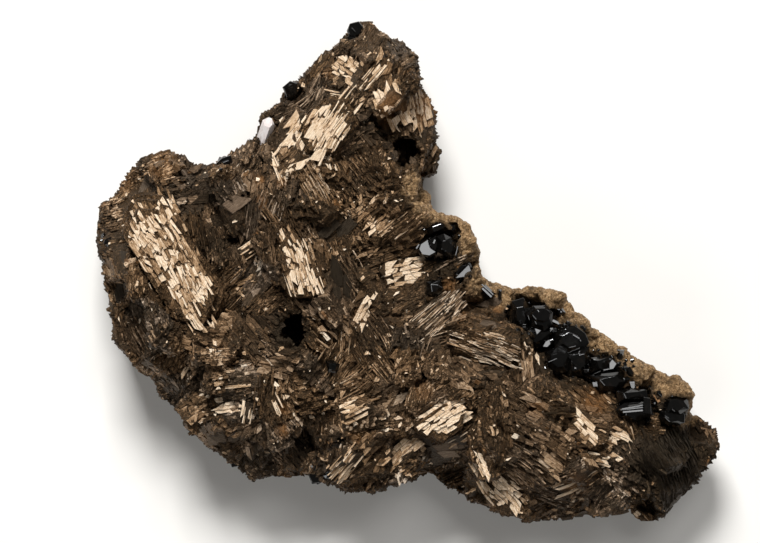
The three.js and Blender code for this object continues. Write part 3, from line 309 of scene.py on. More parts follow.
# The cassiterite's faces, seen from above. "glow" faces shine, "dull" ones lie across the light, "body"
# is the outline of a whole crystal with faces of its own, "dome" one with a broad crown, and a "bar" is
# a narrow bright face: its ends and width. Those of one kind that follow each other are in one row.
CUTS = {
    "cassiterite_shoulder": (
        ("body",
            ((5, 6.2), (6.3, 6.7), (7.7, 6), (8.6, 4.8), (8.7, 3), (8, 2.3), (6.4, 2.8), (4.9, 3.6)),
            ((3.1, 7.9), (4.3, 8.8), (6.5, 8.7), (7.3, 7.9), (6.8, 7.3), (5.4, 6.5), (3.8, 6.4)),
            ((1.3, 4), (2.3, 5.4), (4, 6.1), (5.3, 5), (5.2, 3), (3.8, 2.4), (2.2, 2.8))),
        ("glow", ((2, 3.9), (2.3, 4.8), (3.5, 5.6), (3.9, 4.5), (4.9, 3.4), (3.8, 2.8), (2.6, 3))),
        ("dull", ((3.8, 5.6), (4.9, 6.2), (5.2, 4.6), (4.9, 3.7), (4.1, 4.4))),
        ("bar",
            ((1.5, 4), (2, 4.8), 0.3), ((4.5, 4.9), (4.8, 5.6), 0.35), ((8.4, 2.8), (8.8, 4.5), 0.18)),
        ("body",
            ((7.5, 8.3), (8.6, 8.3), (8.6, 7.1), (7.6, 7.1)),
            ((8.8, 6.7), (9.7, 6.4), (9.5, 5.5), (8.8, 5.7))),
    ),
    "cassiterite_wedge": (
        ("body",
            ((7.6, 0.4), (9.2, 1.9), (10.9, 1.9), (11.6, 0.4), (11.5, -1.2), (9, -1.7), (7.6, -1.1))),
        ("glow", ((8.3, -1.2), (10.7, 1.2), (11.5, -0.7))),
    ),
    "cassiterite_recess": (
        ("body", ((3.2, -1.8), (5.8, -1.4), (6.3, -3), (5.5, -4.1), (3.3, -4.2))),
    ),
    "cassiterite_striated": (
        ("body", ((12.6, -1.9), (13.3, -1.8), (15.5, -3.9), (15.2, -4.7), (14.4, -4.7), (12.7, -2.8))),
        ("bar", ((12.9, -2.1), (15.1, -4.1), 0.26), ((13.1, -2.9), (14.8, -4.5), 0.42)),
        ("body", ((15.8, -3), (16.7, -3.2), (16.7, -5), (15.9, -4.9))),
    ),
    "cassiterite_upper": (
        ("body",
            ((18.3, -5.2), (20.4, -4.6), (21.6, -6.6), (21.4, -9.2), (20.2, -11.4), (18.3, -9.4)),
            ((20.8, -7.4), (22, -6), (24.3, -5.9), (25.5, -7.2), (25.4, -9.4), (23.8, -10.6),
                (21.6, -10)),
            ((20.4, -9.6), (23.2, -9.8), (25.2, -10.6), (24.4, -12.6), (22.8, -13.5), (21, -12.6),
                (19.6, -11.2))),
        ("dome",
            ((21.4, -7.4), (22.4, -6.4), (24.1, -6.2), (25, -7.2), (24.8, -8.4), (23.7, -9),
                (22.2, -8.7))),
        ("dull", ((22.2, -9.9), (23.4, -10.3), (22.6, -11.1))),
        ("bar",
            ((18.4, -9.5), (19.2, -10.7), 0.16), ((19, -10.6), (19.5, -11.2), 0.34),
            ((20.1, -9.3), (20.7, -9.3), 0.14), ((20.1, -9.7), (20.7, -9.7), 0.14),
            ((21, -7.6), (21.3, -8.5), 0.14), ((22.7, -6.7), (23, -7.1), 0.22)),
    ),
    "cassiterite_bead": (
        ("body", ((26, -6.4), (27.3, -6.3), (28, -7.3), (27.4, -8), (26.2, -7.9))),
        ("bar", ((26.2, -6.5), (26.8, -6.7), 0.32), ((26.9, -7), (27.2, -7.2), 0.3)),
    ),
    "cassiterite_lower": (
        ("body",
            ((24.9, -9), (27, -8.8), (27.6, -9.8), (26.6, -11.4), (25, -11.6)),
            ((25.8, -11), (27.6, -9.4), (29.6, -9.6), (31.3, -10.9), (32, -12.6), (30.4, -14.2),
                (27.8, -14.6), (25.8, -13.4)),
            ((24.2, -14), (26.4, -13.2), (28.4, -14.4), (28.2, -17.6), (26.2, -18.2), (24.4, -16.6)),
            ((27.6, -14.6), (30.4, -13.6), (32, -13.2), (32, -16.4), (30.6, -18.4), (28.2, -18.6)),
            ((23.4, -13.2), (24.4, -12), (26, -11.2), (26.2, -12.6), (24.8, -13.8))),
        ("glow", ((23.7, -13.2), (24.2, -12.3), (24.9, -11.9), (25.1, -12.7), (24.5, -13.3))),
        ("bar",
            ((24.9, -12.3), (25.7, -11.5), 0.42), ((25.5, -8.6), (26.8, -9.2), 0.5),
            ((25.6, -9.3), (26.5, -9.7), 0.2), ((25.1, -10.1), (25.7, -10.1), 0.42),
            ((25, -10.7), (25.4, -10.3), 0.2), ((28, -14.3), (30.2, -13.4), 0.12),
            ((24.7, -15.9), (26.9, -15), 0.16), ((29, -11.1), (30.2, -11.8), 0.26),
            ((30.2, -11.9), (30.4, -12.3), 0.16), ((29.2, -16.9), (29.6, -17), 0.26)),
        ("dull", ((31, -17.2), (31.6, -17.2), (31.6, -17.9), (31, -17.8))),
    ),
    "cassiterite_middle": (
        ("body",
            ((32.2, -15.2), (34.6, -14.9), (37, -14.6), (37.2, -17.2), (35, -18.4), (32.6, -17.8)),
            ((32, -18.2), (34.4, -18.2), (37.4, -17.6), (38.6, -19.4), (37.2, -21.2), (33.6, -21))),
        ("glow", ((35.4, -16.1), (35.9, -15.4), (36.7, -16.2), (36.1, -17.1), (35.4, -17.2))),
        ("bar", ((34.3, -17.3), (35.4, -17.1), 0.24), ((32.8, -18), (34, -17.5), 0.12)),
        ("dull",
            ((32.3, -19.4), (33.2, -19.3), (33.3, -20.2), (32.5, -20.2)),
            ((38.9, -19.3), (39.9, -19.3), (39.9, -20.4), (39.4, -20.9))),
    ),
    "cassiterite_rim": (
        ("body", ((36.9, -13.9), (38.2, -13.9), (38.2, -15.8), (37.3, -16.4), (36.8, -15.4))),
        ("bar", ((36.9, -13.8), (38.2, -13.9), 0.2)),
    ),
    "cassiterite_prism": (
        ("body",
            ((36.6, -21), (39.6, -20.4), (42, -20.8), (42.4, -22.6), (37, -23)),
            ((36.4, -24.2), (38, -23), (42.6, -22.8), (43.2, -25.2), (40, -26.2), (37.2, -25.6))),
        ("bar",
            ((38.4, -21.4), (41.3, -20.9), 0.18), ((37.4, -24.1), (41.2, -23.4), 0.3),
            ((37.2, -24.2), (41.2, -23.8), 0.28), ((37.6, -24.6), (41.2, -24.3), 0.36)),
        ("dull", ((41.3, -22), (42.5, -22.2), (42.6, -24.9), (41.4, -24.8))),
    ),
    "cassiterite_toe": (
        ("body",
            ((45, -22.4), (47.4, -21.9), (49.3, -22.3), (49.6, -24.2), (48, -25.2), (45.4, -24.8)),
            ((44.3, -24.2), (46.4, -24.4), (48.9, -25), (48.8, -26.7), (46, -27.2), (44.3, -26))),
        ("bar", ((46.4, -24.1), (46.9, -24.6), 0.14), ((45.2, -25.3), (45.9, -25.8), 0.14)),
    ),
    "cassiterite_inner": (
        ("body", ((-14.4, -15.6), (-13, -15.4), (-11.8, -16.2), (-12.4, -17.8), (-14, -17.6))),
        ("dull", ((-13.4, -16), (-12.6, -15.9), (-12.5, -16.5))),
    ),
    "cassiterite_lobe": (
        ("dome", ((-22.2, 32.6), (-20.8, 33.8), (-19.4, 33.4), (-19.6, 31.4), (-21.2, 30.6))),
        ("bar", ((-21, 33), (-20.2, 33.2), 0.14)),
    ),
    "cassiterite_tip": (
        ("dome",
            ((-10.8, 42.6), (-10.2, 44), (-8.6, 44.4), (-7.8, 43.4), (-8.4, 41.8), (-10.2, 41.4)),
            ((-10.9, 41.6), (-9.2, 41.8), (-8.4, 40.6), (-10.2, 39.9))),
        ("bar", ((-9.9, 43.2), (-9.2, 42.4), 0.14)),
    ),
    "cassiterite_saddle": (
        ("dome", ((-34, 19), (-32.8, 20.2), (-31.2, 20.6), (-30.9, 19.2), (-32.4, 18.2))),
        ("bar", ((-32.6, 19.2), (-31.6, 19.6), 0.14)),
    ),
    "cassiterite_sole_left": (
        ("dome",
            ((-32.2, -32.6), (-30.8, -30.6), (-28.8, -30.4), (-28.1, -32), (-29, -34.4),
                (-31.2, -34.8))),
        ("bar", ((-30.6, -31.6), (-29.4, -31.2), 0.14)),
    ),
    "cassiterite_sole_middle": (
        ("dome",
            ((-28.5, -34.6), (-27.6, -33.4), (-26.2, -33.6), (-25.9, -35.2), (-27, -36.6),
                (-28.2, -36.2))),
    ),
    "cassiterite_sole_right": (
        ("dome",
            ((-17.8, -35.8), (-17, -34), (-15.2, -33.8), (-14.6, -35.6), (-15.4, -37.6), (-17, -37.8))),
        ("dull", ((-16.6, -34.8), (-15.6, -34.6), (-15.5, -35.4))),
    ),
    "cassiterite_heel": (
        ("dome", ((-55.3, 6.2), (-54, 6.6), (-53, 5.2), (-53.4, 3.2), (-54.9, 3.4))),
    ),
}
CUT_RISE = {"body": 0.25, "dome": 0.75, "glow": 1.5, "dull": 1.1, "bar": 1.2}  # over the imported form
CROWNS = {"body": (0.5, 0.9), "dome": (0.8, 0.35)}  # a crown's share of the outline, its belt's depth
FACE_SPREAD = {"glow": 0.03, "dull": 0.12, "bar": 0.03}  # how far a face is off the light at random
SMALL_CRYSTAL = 4.6  # one no wider than this tapers to its foot
MOST_ROOT = 4.5  # how deep the root of a crystal goes
BEVEL = 0.05  # how far the bevel of a crystal's edge reaches over its faces
# The small crystals between the large ones: how many, how large, and how far up the rock under one
# has to face. After that, the places around the rim where more of them grow.
DRUSE = {"count": 380, "size": (0.5, 1.5), "steepest": 0.55}
RIM_DRUSE = (
    ((-9.4, 42.4), 1.8), ((-20.6, 32.2), 1.4), ((-32.6, 19.4), 1.6), ((-54, 5), 1.4), ((7.6, 8.2), 1.8),
    ((33.5, -14.2), 1.6), ((38, -17), 2), ((43.6, -21.5), 1.6), ((-15.8, -36.4), 2.4),
)

# ---------------------------------------------------------------- sums

rng = np.random.default_rng(SEED)
UP = np.array([0.0, 0.0, 1.0])


def pull(low, high, count):
    """That many numbers between two values, the same each time."""
    return low + (high - low) * rng.random(count)


def stray(spread, count):
    """That many small vectors, the same each time."""
    return rng.normal(0, spread, (count, 3))


def unit(vectors):
    return vectors / np.maximum(np.linalg.norm(vectors, axis=-1, keepdims=True), 1e-9)


def dot(a, b):
    return np.sum(a * b, axis=-1)


def squared(along, flat):
    """Directions brought into the planes that face flat."""
    return unit(along - flat * dot(along, flat)[:, None])


def seen_along(points, along, flat):
    """How far points are along the leaves, across them and through them."""
    return np.stack([dot(points, along), dot(points, np.cross(flat, along)), dot(points, flat)], axis=1)


def kept_inside(points):
    """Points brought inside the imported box."""
    low, high = np.array(packed_box) / MM
    return np.clip(points, low + KEPT_INSIDE, high - KEPT_INSIDE)


def eased(values, start, end):
    """0 before start and 1 after end, smooth between; either may be the larger."""
    share = np.clip((values - start) / (end - start), 0, 1)
    return share * share * (3 - 2 * share)


def hashed(*whole):
    """A number from 0 to 1 for each row of whole numbers, the same each time."""
    mixed = np.uint64(SEED)
    for each in whole:
        mixed = (mixed ^ np.asarray(each).astype(np.int64).astype(np.uint64)) * MIXERS[0]
        mixed = mixed ^ (mixed >> np.uint64(31))
    mixed = mixed * MIXERS[1]
    return (mixed >> np.uint64(11)) / 2.0**53


def hashed_mark(mark, *seeds):
    """A number from 0 to 1 for each mark from 0 to 1."""
    return hashed(np.round(mark * 65536), *seeds)


def swell(places, size, seed):
    """Smooth noise from 0 to 1 at places, with swells about that long."""
    at = places / size
    low = np.floor(at).astype(np.int64)
    share = eased(at - low, 0, 1)
    total = 0
    for step in np.ndindex(*(2,) * places.shape[1]):
        weight = np.prod(np.where(step, share, 1 - share), axis=1)
        total = total + weight * hashed(*(low + step).T, seed)
    return total


def cells(places, size, seed):
    """The nearest of scattered seeds, one to a box of that size: its mark, where it is, how far."""
    at = places / size
    low = np.floor(at).astype(np.int64)
    best = np.full(len(at), np.inf)
    where = np.zeros_like(at)
    mark = np.zeros(len(at))
    for step in np.ndindex(*(3,) * at.shape[1]):
        box = low + np.array(step) - 1
        seeds = box + np.stack([hashed(*box.T, seed, axis) for axis in range(at.shape[1])], axis=1)
        far = np.linalg.norm(at - seeds, axis=1)
        nearer = far < best
        best = np.where(nearer, far, best)
        where = np.where(nearer[:, None], seeds, where)
        mark = np.where(nearer, hashed(*box.T, seed, 7), mark)
    return mark, where * size, best


def to_line(places, line):
    """How far each place is from a line through points, seen from above."""
    nearest = np.full(len(places), np.inf)
    for start, end in zip(np.array(line[:-1], float), np.array(line[1:], float)):
        along = end - start
        share = np.clip(((places - start) @ along) / (along @ along), 0, 1)
        nearest = np.minimum(nearest, np.linalg.norm(places - start - share[:, None] * along, axis=1))
    return nearest


def spots(places, rows):
    """How strongly round spots cover each place: each spot is a middle, a radius and a strength."""
    total = np.zeros(len(places))
    for middle, radius, strength in rows:
        far = np.linalg.norm(places - np.array(middle), axis=1)
        total = np.maximum(total, strength * eased(far, 1.25 * radius, 0.45 * radius))
    return total


def shaded(tone, shade, depth):
    """Tones darkened by depth where the painted shade is full, and drawn towards the darkest.
    It paints shade, and the rock's own dark, into the tone.
    """
    return tone * (1 - depth * shade) + SHADE_DEPTH * shade


def axes_of(run, lean, way):
    """The run of the leaves and the normal of their flats, from degrees."""
    run, lean = np.radians(run), np.radians(lean)
    turn = run + np.pi / 2 * way
    along = np.stack([np.cos(run), np.sin(run), np.zeros_like(run)], axis=-1)
    flat = np.stack([np.sin(lean) * np.cos(turn), np.sin(lean) * np.sin(turn), np.cos(lean)], axis=-1)
    return along, flat


def around(turn):
    """Directions in the plane, seen from above."""
    return np.stack([np.cos(turn), np.sin(turn)], axis=1)


def direction(turn, height):
    """The way to a place in the sky, from degrees."""
    turn, height = math.radians(turn), math.radians(height)
    level = math.cos(height)
    return np.array([level * math.cos(turn), level * math.sin(turn), math.sin(height)])


# A flat that faces this way shines upwards: mica in the key light, and crystal in the softer card light.
SHINE, GLOW = (unit(direction(light["turn"], light["height"]) + UP) for light in (KEY, CARD))

# ---------------------------------------------------------------- the mica's fabric


class Fabric:
    """The books of mica that make up the matrix, and which of them each place is in."""

    def __init__(self):
        steps = [np.arange(low, high, BOOK_SPACING) for low, high in FIELD]
        grid = np.stack(np.meshgrid(*steps), axis=-1).reshape(-1, 2)
        self.middles = grid + (rng.random(grid.shape) - 0.5) * BOOK_SPACING
        count = len(self.middles)
        marks = np.array([middle for middle, _, _ in FABRIC], float)
        nearest = np.argmin(np.linalg.norm(self.middles[:, None] - marks[None], axis=2), axis=1)
        run, lean = np.array([row[1:] for row in FABRIC], float)[nearest].T
        self.run = run + pull(-BOOK_TURN, BOOK_TURN, count)
        lean = np.clip(lean + pull(-BOOK_LEAN, BOOK_LEAN, count), LEAST_LEAN, MOST_LEAN)
        way = np.where(rng.random(count) < 0.5, -1, 1)
        self.along, self.flat = axes_of(self.run, lean, way)
        self.tone = pull(0.0, 1.0, count)
        self.ash = 0.8 * pull(0.0, 1.0, count) ** 2
        self.habit = rng.choice(list(HABITS), count, p=list(HABITS.values()))

    def book_at(self, places, near=None):
        """The book each place is in; the edges between books wander. near says around where they are."""
        reach, length = WARP
        warped = places[:, :2].copy()
        for axis in range(2):
            warped[:, axis] += reach * 2 * (swell(places, length, 40 + axis) - 0.5)
        book = np.zeros(len(places), np.int64)
        best = np.full(len(places), np.inf)
        chosen = range(len(self.middles))
        if near is not None:
            chosen = np.flatnonzero(np.linalg.norm(self.middles - near, axis=1) < 4 * BOOK_SPACING)
        for index in chosen:
            far = np.hypot(*(warped - self.middles[index]).T)
            nearer = far < best
            book[nearer], best[nearer] = index, far[nearer]
        return book


fabric = Fabric()


def inside_patch(places, patch, grow=1.0):
    """Which places are inside a patch, seen from above; its edge is uneven."""
    middle, half_length, half_width, along = patch[:4]
    turn = math.radians(along)
    off = places[:, :2] - np.array(middle)
    u = (off[:, 0] * math.cos(turn) + off[:, 1] * math.sin(turn)) / half_length
    v = (off[:, 1] * math.cos(turn) - off[:, 0] * math.sin(turn)) / half_width
    uneven, length = RAGGED
    ragged = uneven * (swell(places[:, :2], length, 9) - 0.5)
    return (u**4 + v**4) ** 0.25 < (1 + ragged) * grow


def patch_axes(patch, count, spread):
    """The run and the flat of leaves in a patch, turned a little at random by spread degrees."""
    run, lie = patch[4:6]
    turned = run + pull(-1, 1, count) * spread * 1.6
    if lie in SHINING:
        flat = unit(SHINE + stray(math.radians(spread) + 1e-6, count))
        return squared(axes_of(turned, np.zeros(count), 1)[0], flat), flat
    lean = {"plates": 20, "stripes": 12, "faces": 4}[lie] + pull(-1, 1, count) * spread
    return axes_of(turned, lean, 1 if math.sin(math.radians(run + 90)) >= 0 else -1)


def crust_share(places):
    return eased(to_line(places[:, :2], CRUST_LINE), *reversed(CRUST_REACH))


def is_taken(places):
    """Which places, seen from above, are in a patch, a pit, the crust or the crystals."""
    taken = (crust_share(places) > 0.5) | (spots(places, PITS + CRYSTAL_SPACE) > 0.5)
    for patch in PATCHES:
        taken |= inside_patch(places, patch)
    return taken


# ---------------------------------------------------------------- meshes


def placed(name, data):
    """A new object in the scene."""
    piece = bpy.data.objects.new(name, data)
    bpy.context.scene.collection.objects.link(piece)
    return piece


def dress(piece, finish, slot, *nodes):
    """Gives a piece its finish and its place on the part."""
    piece.data.materials.append(finish)
    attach(piece, "root")
    if nodes:
        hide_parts(*nodes)


def known_at(grain, **known):
    """What the mica's finish reads at each point: the grain and six numbers, those not given 0."""
    numbers = dict.fromkeys(("tone", "ash", "rust", "crust", "ore", "sleek"), np.zeros(len(grain)))
    return numbers | known | {"grain": grain}


def made(name, points, faces, known):
    """A mesh object in metres, with numbers and vectors by name for each point."""
    mesh = bpy.data.meshes.new(name)
    mesh.from_pydata((points * MM).tolist(), [], [list(map(int, face)) for face in faces])
    for key, values in known.items():
        kind, field = ("FLOAT", "value") if values.ndim == 1 else ("FLOAT_VECTOR", "vector")
        store = mesh.attributes.new(key, kind, "POINT")
        store.data.foreach_set(field, values.astype(np.float32).ravel())
    return placed(name, mesh)


def bake_map(piece, places):
    """Lays out the piece's flat map, from a place in the unit square for each point."""
    layer = piece.data.uv_layers.new(name="OFBake")
    corners = np.empty(len(piece.data.loops), np.int32)
    piece.data.loops.foreach_get("vertex_index", corners)
    layer.data.foreach_set("uv", places[corners].astype(np.float32).ravel())


def points_of(mesh, scale=1.0):
    points = np.empty(len(mesh.vertices) * 3)
    mesh.vertices.foreach_get("co", points)
    return points.reshape(-1, 3) * scale


def summed(vectors, owners, count):
    """The sum of the vectors that each of count owners has."""
    return np.stack([np.bincount(owners, vectors[:, axis], count) for axis in range(3)], axis=1)


def normals_of(points, faces):
    """The mean normal at each point of a mesh of quads."""
    across = np.cross(points[faces[:, 2]] - points[faces[:, 0]], points[faces[:, 3]] - points[faces[:, 1]])
    return unit(summed(np.repeat(across, 4, axis=0), faces.ravel(), len(points)))


def relaxed(points, faces, rounds):
    """The points drawn towards their neighbours, which rounds off the edges."""
    links = np.concatenate([np.roll(faces, -side, axis=1)[:, :2] for side in range(4)])
    starts, ends = np.concatenate([links, links[:, ::-1]]).T
    count = np.bincount(starts, minlength=len(points))[:, None]
    for _ in range(rounds):
        points = 0.4 * points + 0.6 * summed(points[ends], starts, len(points)) / count
    return points


def remade(node, voxel):
    """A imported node's form as an even mesh of small quads."""
    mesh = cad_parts[node].data.copy()
    mesh.vertices.foreach_set("co", points_of(mesh, 1 / MM).ravel())
    stand_in = placed("stand_in", mesh)
    remesh = stand_in.modifiers.new("even", "REMESH")
    remesh.mode = "VOXEL"
    remesh.voxel_size = voxel
    even = stand_in.evaluated_get(bpy.context.evaluated_depsgraph_get()).to_mesh()
    points = points_of(even)
    corners = np.empty(len(even.loops), np.int64)
    even.loops.foreach_get("vertex_index", corners)
    bpy.data.objects.remove(stand_in)
    return points, corners.reshape(-1, 4)


# ---------------------------------------------------------------- the broken rock


def broken(points, normals, along, flat, breaks, seed):
    """Each point moved onto the flats that its book's leaves break into."""
    length, width, thickness, spread = breaks
    place = seen_along(points, along, flat)
    mark, middle, _ = cells(place[:, :2] / [length, width], 1.0, seed)
    depth = place[:, 2] / thickness + spread * mark
    level = np.floor(depth)
    step = level + 0.5 + 0.5 * (hashed(level, np.round(mark * 4096), seed) - 0.5)
    facing = np.abs(dot(normals, flat))
    move = (step - depth) * thickness / np.maximum(facing, STEEPEST) * eased(facing, *MOVED_FROM)
    tilt = (np.stack([hashed_mark(mark, seed, axis) for axis in (1, 2)], axis=1) - 0.5) * BLOCK_TILT
    move = move + dot(tilt, place[:, :2] - middle * [length, width]) * facing
    proud = (hashed(level, np.round(mark * 512), seed + 1) - 0.5) * PROUD * thickness
    move = move + (1 - facing) * proud
    return points + normals * np.clip(move, -MOST_MOVED, MOST_MOVED)[:, None]


def lumpy(points, normals, share):
    """The crust's rounded lumps."""
    for size, height in CRUST_LUMPS:
        _, _, far = cells(points, size, int(size * 10))
        dome = np.clip(1 - (far / 0.75) ** 2, 0, 1)
        points = points + normals * (share * height * (dome - 0.35))[:, None]
    return points


def rock():
    """The matrix as broken mica and crust: its points, its faces, their normals before it breaks, what
    is known of each point, and the points of its evened form."""
    points, faces = remade("mica_matrix", VOXEL)
    points = relaxed(points, faces, SMOOTHING)
    evened = relaxed(points, faces, EVENING)
    normals = normals_of(points, faces)
    book = fabric.book_at(points)
    along, flat = fabric.along[book], fabric.flat[book]
    # The rock's own dark mica, kept darker still as painted shade for the gaps between the leaves on it.
    tone = 0.03 + 0.20 * fabric.tone[book] ** 2
    rough = np.ones(len(points))
    for patch in PATCHES:
        inside = inside_patch(points, patch) & (normals[:, 2] > PATCH_FACING)
        along[inside], flat[inside] = patch_axes(patch, int(inside.sum()), 0)
        # Under a patch the rock is dark: painted shade for the cracks between its leaves.
        tone[inside] = 0.06
        rough[inside] = ROUGH_UNDER_PATCH
    crust = crust_share(points) * eased(points[:, 2], *CRUST_LEVEL)
    for index, breaks in enumerate(BREAKS):
        moved = broken(points, normals, along, flat, breaks, 60 + index)
        points = points + (moved - points) * (rough * (1 - crust))[:, None]
    points = kept_inside(lumpy(points, normals, crust))
    ore = spots(points[:, :2], CRYSTAL_SPACE) * eased(points[:, 2], *ORE_LEVEL)
    # The tone takes painted shade, and the rock's own dark, from the dark places.
    known = known_at(
        seen_along(points, along, flat), tone=shaded(tone, spots(points[:, :2], PAINTED_SHADE_AND_DARK_ROCK), 0.7),
        ash=fabric.ash[book], rust=spots(points[:, :2], RUST), crust=crust * (1 - ore), ore=ore,
    )
    return points, faces, normals, known, evened


def rock_pieces(points, faces, normals, known, finish):
    """The rock in five pieces: the left and the right of its crystal side, the left and the right of its
    sides, and its back."""
    facing = normals[faces].mean(axis=1)[:, 2]
    right = points[faces].mean(axis=1)[:, 0] > LEFT_ENDS
    front, back = facing > FRONT_FACING, facing < BACK_FACING
    side = ~front & ~back
    shares = {
        "left": front & ~right, "right": front & right,
        "left_side": side & ~right, "right_side": side & right, "back": back,
    }
    for name, chosen in shares.items():
        used, renumbered = np.unique(faces[chosen], return_inverse=True)
        known_here = {key: values[used] for key, values in known.items()}
        piece = made(f"mica_rock_{name}", points[used], renumbered.reshape(-1, 4), known_here)
        flat = points[used][:, :2]
        if "side" in name:
            out = flat - np.array(LOBES[name.removesuffix("_side")])
            flat = np.stack([np.arctan2(out[:, 1], out[:, 0]) * 30, points[used][:, 2]], axis=1)
        bake_map(piece, (flat - flat.min(axis=0)) / np.ptp(flat, axis=0) * 0.98 + 0.01)
        dress(piece, finish, "matrix", "mica_matrix")


def book_rock(node, finish):
    """One of the large books: its packed form, split into leaves, the dark ground of its scales, darkened
    as painted shade for the cracks between them.
    """
    points, faces = remade(node, BOOK_VOXEL)
    along, flat = (np.broadcast_to(axis, points.shape) for axis in axes_of(*map(float, BOOKS[node])))
    points = kept_inside(broken(points, normals_of(points, faces), along, flat, BOOK_BREAKS, 80))
    # A dark tone: painted shade for the cracks between the scales above.
    known = known_at(seen_along(points, along, flat), tone=0.02 + 0.2 * swell(points, 0.8, 5))
    dress(made(f"{node}_leaves", points, faces, known), finish, "mica", node)
    return points, faces.tolist()


# ---------------------------------------------------------------- leaves of mica


class Leaves:
    """A growing pile of leaves: where each is, how it lies, its outline and its look."""

    KEYS = ("at", "along", "flat", "ring", "thickness", "tone", "ash", "rust", "sleek", "comb")

    def __init__(self, corners):
        self.corners = corners
        self.heaps = {}

    def add(self, **leaves):
        """Adds leaves whose outlines have the same number of corners."""
        heap = self.heaps.setdefault(leaves["ring"].shape[1], {key: [] for key in self.KEYS})
        for key in self.KEYS:
            heap[key].append(leaves[key])

    def lay(self, kind, fits, **leaves):
        """Lays loose leaves of one kind. One with an end that doesn't fit is broken shorter, and left out
        if it still doesn't."""
        count = len(leaves["tone"])
        length, width, leaves["thickness"] = sizes(kind, count)
        side = np.cross(leaves["flat"], leaves["along"]) * width[:, None] / 2
        for _ in range(LENGTHS_TRIED):
            reach = leaves["along"] * length[:, None] / 2
            good = np.all([fits(leaves["at"] + off) for off in (reach, -reach, side, -side)], axis=0)
            length = np.where(good, length, SHORTER * length)
        length, width, count = length[good], width[good], int(good.sum())
        shape = np.array(LEAF_CORNERS[self.corners])
        uneven = rng.random((3, count, self.corners))
        u = shape[:, 0] + (uneven[0] - 0.5) * 0.75
        v = shape[:, 1] * (0.6 + 0.7 * uneven[1]) + (uneven[2] - 0.5) * 0.6
        self.add(
            ring=np.stack([u * length[:, None] / 2, v * width[:, None] / 2], axis=2),
            sleek=np.zeros(count), comb=np.ones((count, 2)),
            **{key: values[good] for key, values in leaves.items()},
        )

    def places(self):
        return np.concatenate([at[:, 0] for heap in self.heaps.values() for at in heap["at"]])

    def mesh(self, name, low, high):
        """One mesh of the leaves from low to high in x, each with its own square of map."""
        parts, faces, maps, first, leaf = [], [], [], 0, 0
        for corners, heap in self.heaps.items():
            rows = {key: np.concatenate(values) for key, values in heap.items()}
            chosen = (rows["at"][:, 0] >= low) & (rows["at"][:, 0] < high)
            if chosen.any():
                rows = {key: values[chosen] for key, values in rows.items()}
                points, more, known, spread = solid_leaves(rows, corners)
                parts.append({"points": points} | known)
                faces += [[corner + first for corner in face] for face in more]
                maps.append((leaf + np.arange(len(points)) // (2 * corners), spread))
                first += len(points)
                leaf += int(chosen.sum())
        known = {key: np.concatenate([part[key] for part in parts]) for key in parts[0]}
        number, spread = (np.concatenate(each) for each in zip(*maps))
        piece = made(name, known.pop("points"), faces, known)
        side = math.ceil(math.sqrt(leaf))
        spot = np.stack([number % side, number // side], axis=1)
        bake_map(piece, (spot + np.clip(spread, 0.08, 0.92)) / side)
        return piece


def solid_leaves(rows, corners):
    """The points and faces of leaves with that many corners, what is known of each point, and where it
    is on the leaf's square of map."""
    count = len(rows["tone"])
    ring, flat = rows["ring"], rows["flat"]
    across = np.cross(flat, rows["along"])
    over = rows["at"][:, None] + ring[..., :1] * rows["along"][:, None] + ring[..., 1:] * across[:, None]
    under = over - (flat * rows["thickness"][:, None])[:, None]
    points = kept_inside(np.concatenate([over, under], axis=1).reshape(-1, 3))
    first = np.arange(count)[:, None] * 2 * corners
    faces = (first + np.arange(corners - 1, -1, -1)).tolist()
    for corner in range(corners):
        after = (corner + 1) % corners
        faces += (first + np.array([corner, after, after + corners, corner + corners])).tolist()
    combed = np.concatenate([ring, ring], axis=1) * rows["comb"][:, None]
    mark = np.repeat(rng.random(count) * 60, 2 * corners).reshape(count, -1, 1)
    numbers = {key: np.repeat(rows[key], 2 * corners) for key in ("tone", "ash", "rust", "sleek")}
    known = known_at(np.concatenate([combed + mark, mark], axis=2).reshape(-1, 3), **numbers)
    reach = np.abs(ring).max(axis=1, keepdims=True)
    spread = np.concatenate([ring / reach] * 2, axis=1).reshape(-1, 2) * 0.42 + 0.5
    return points, faces, known, spread


def sizes(kind, count):
    """Length, width and thickness of that many leaves; a long one is a wide one."""
    length, width, thickness, lean = LEAF_SIZES[kind]
    share = rng.random(count)
    across = np.clip(share + pull(-0.3, 0.3, count), 0, 1)
    return (
        length[0] + (length[1] - length[0]) * share**lean,
        width[0] + (width[1] - width[0]) * across**lean,
        pull(*thickness, count),
    )


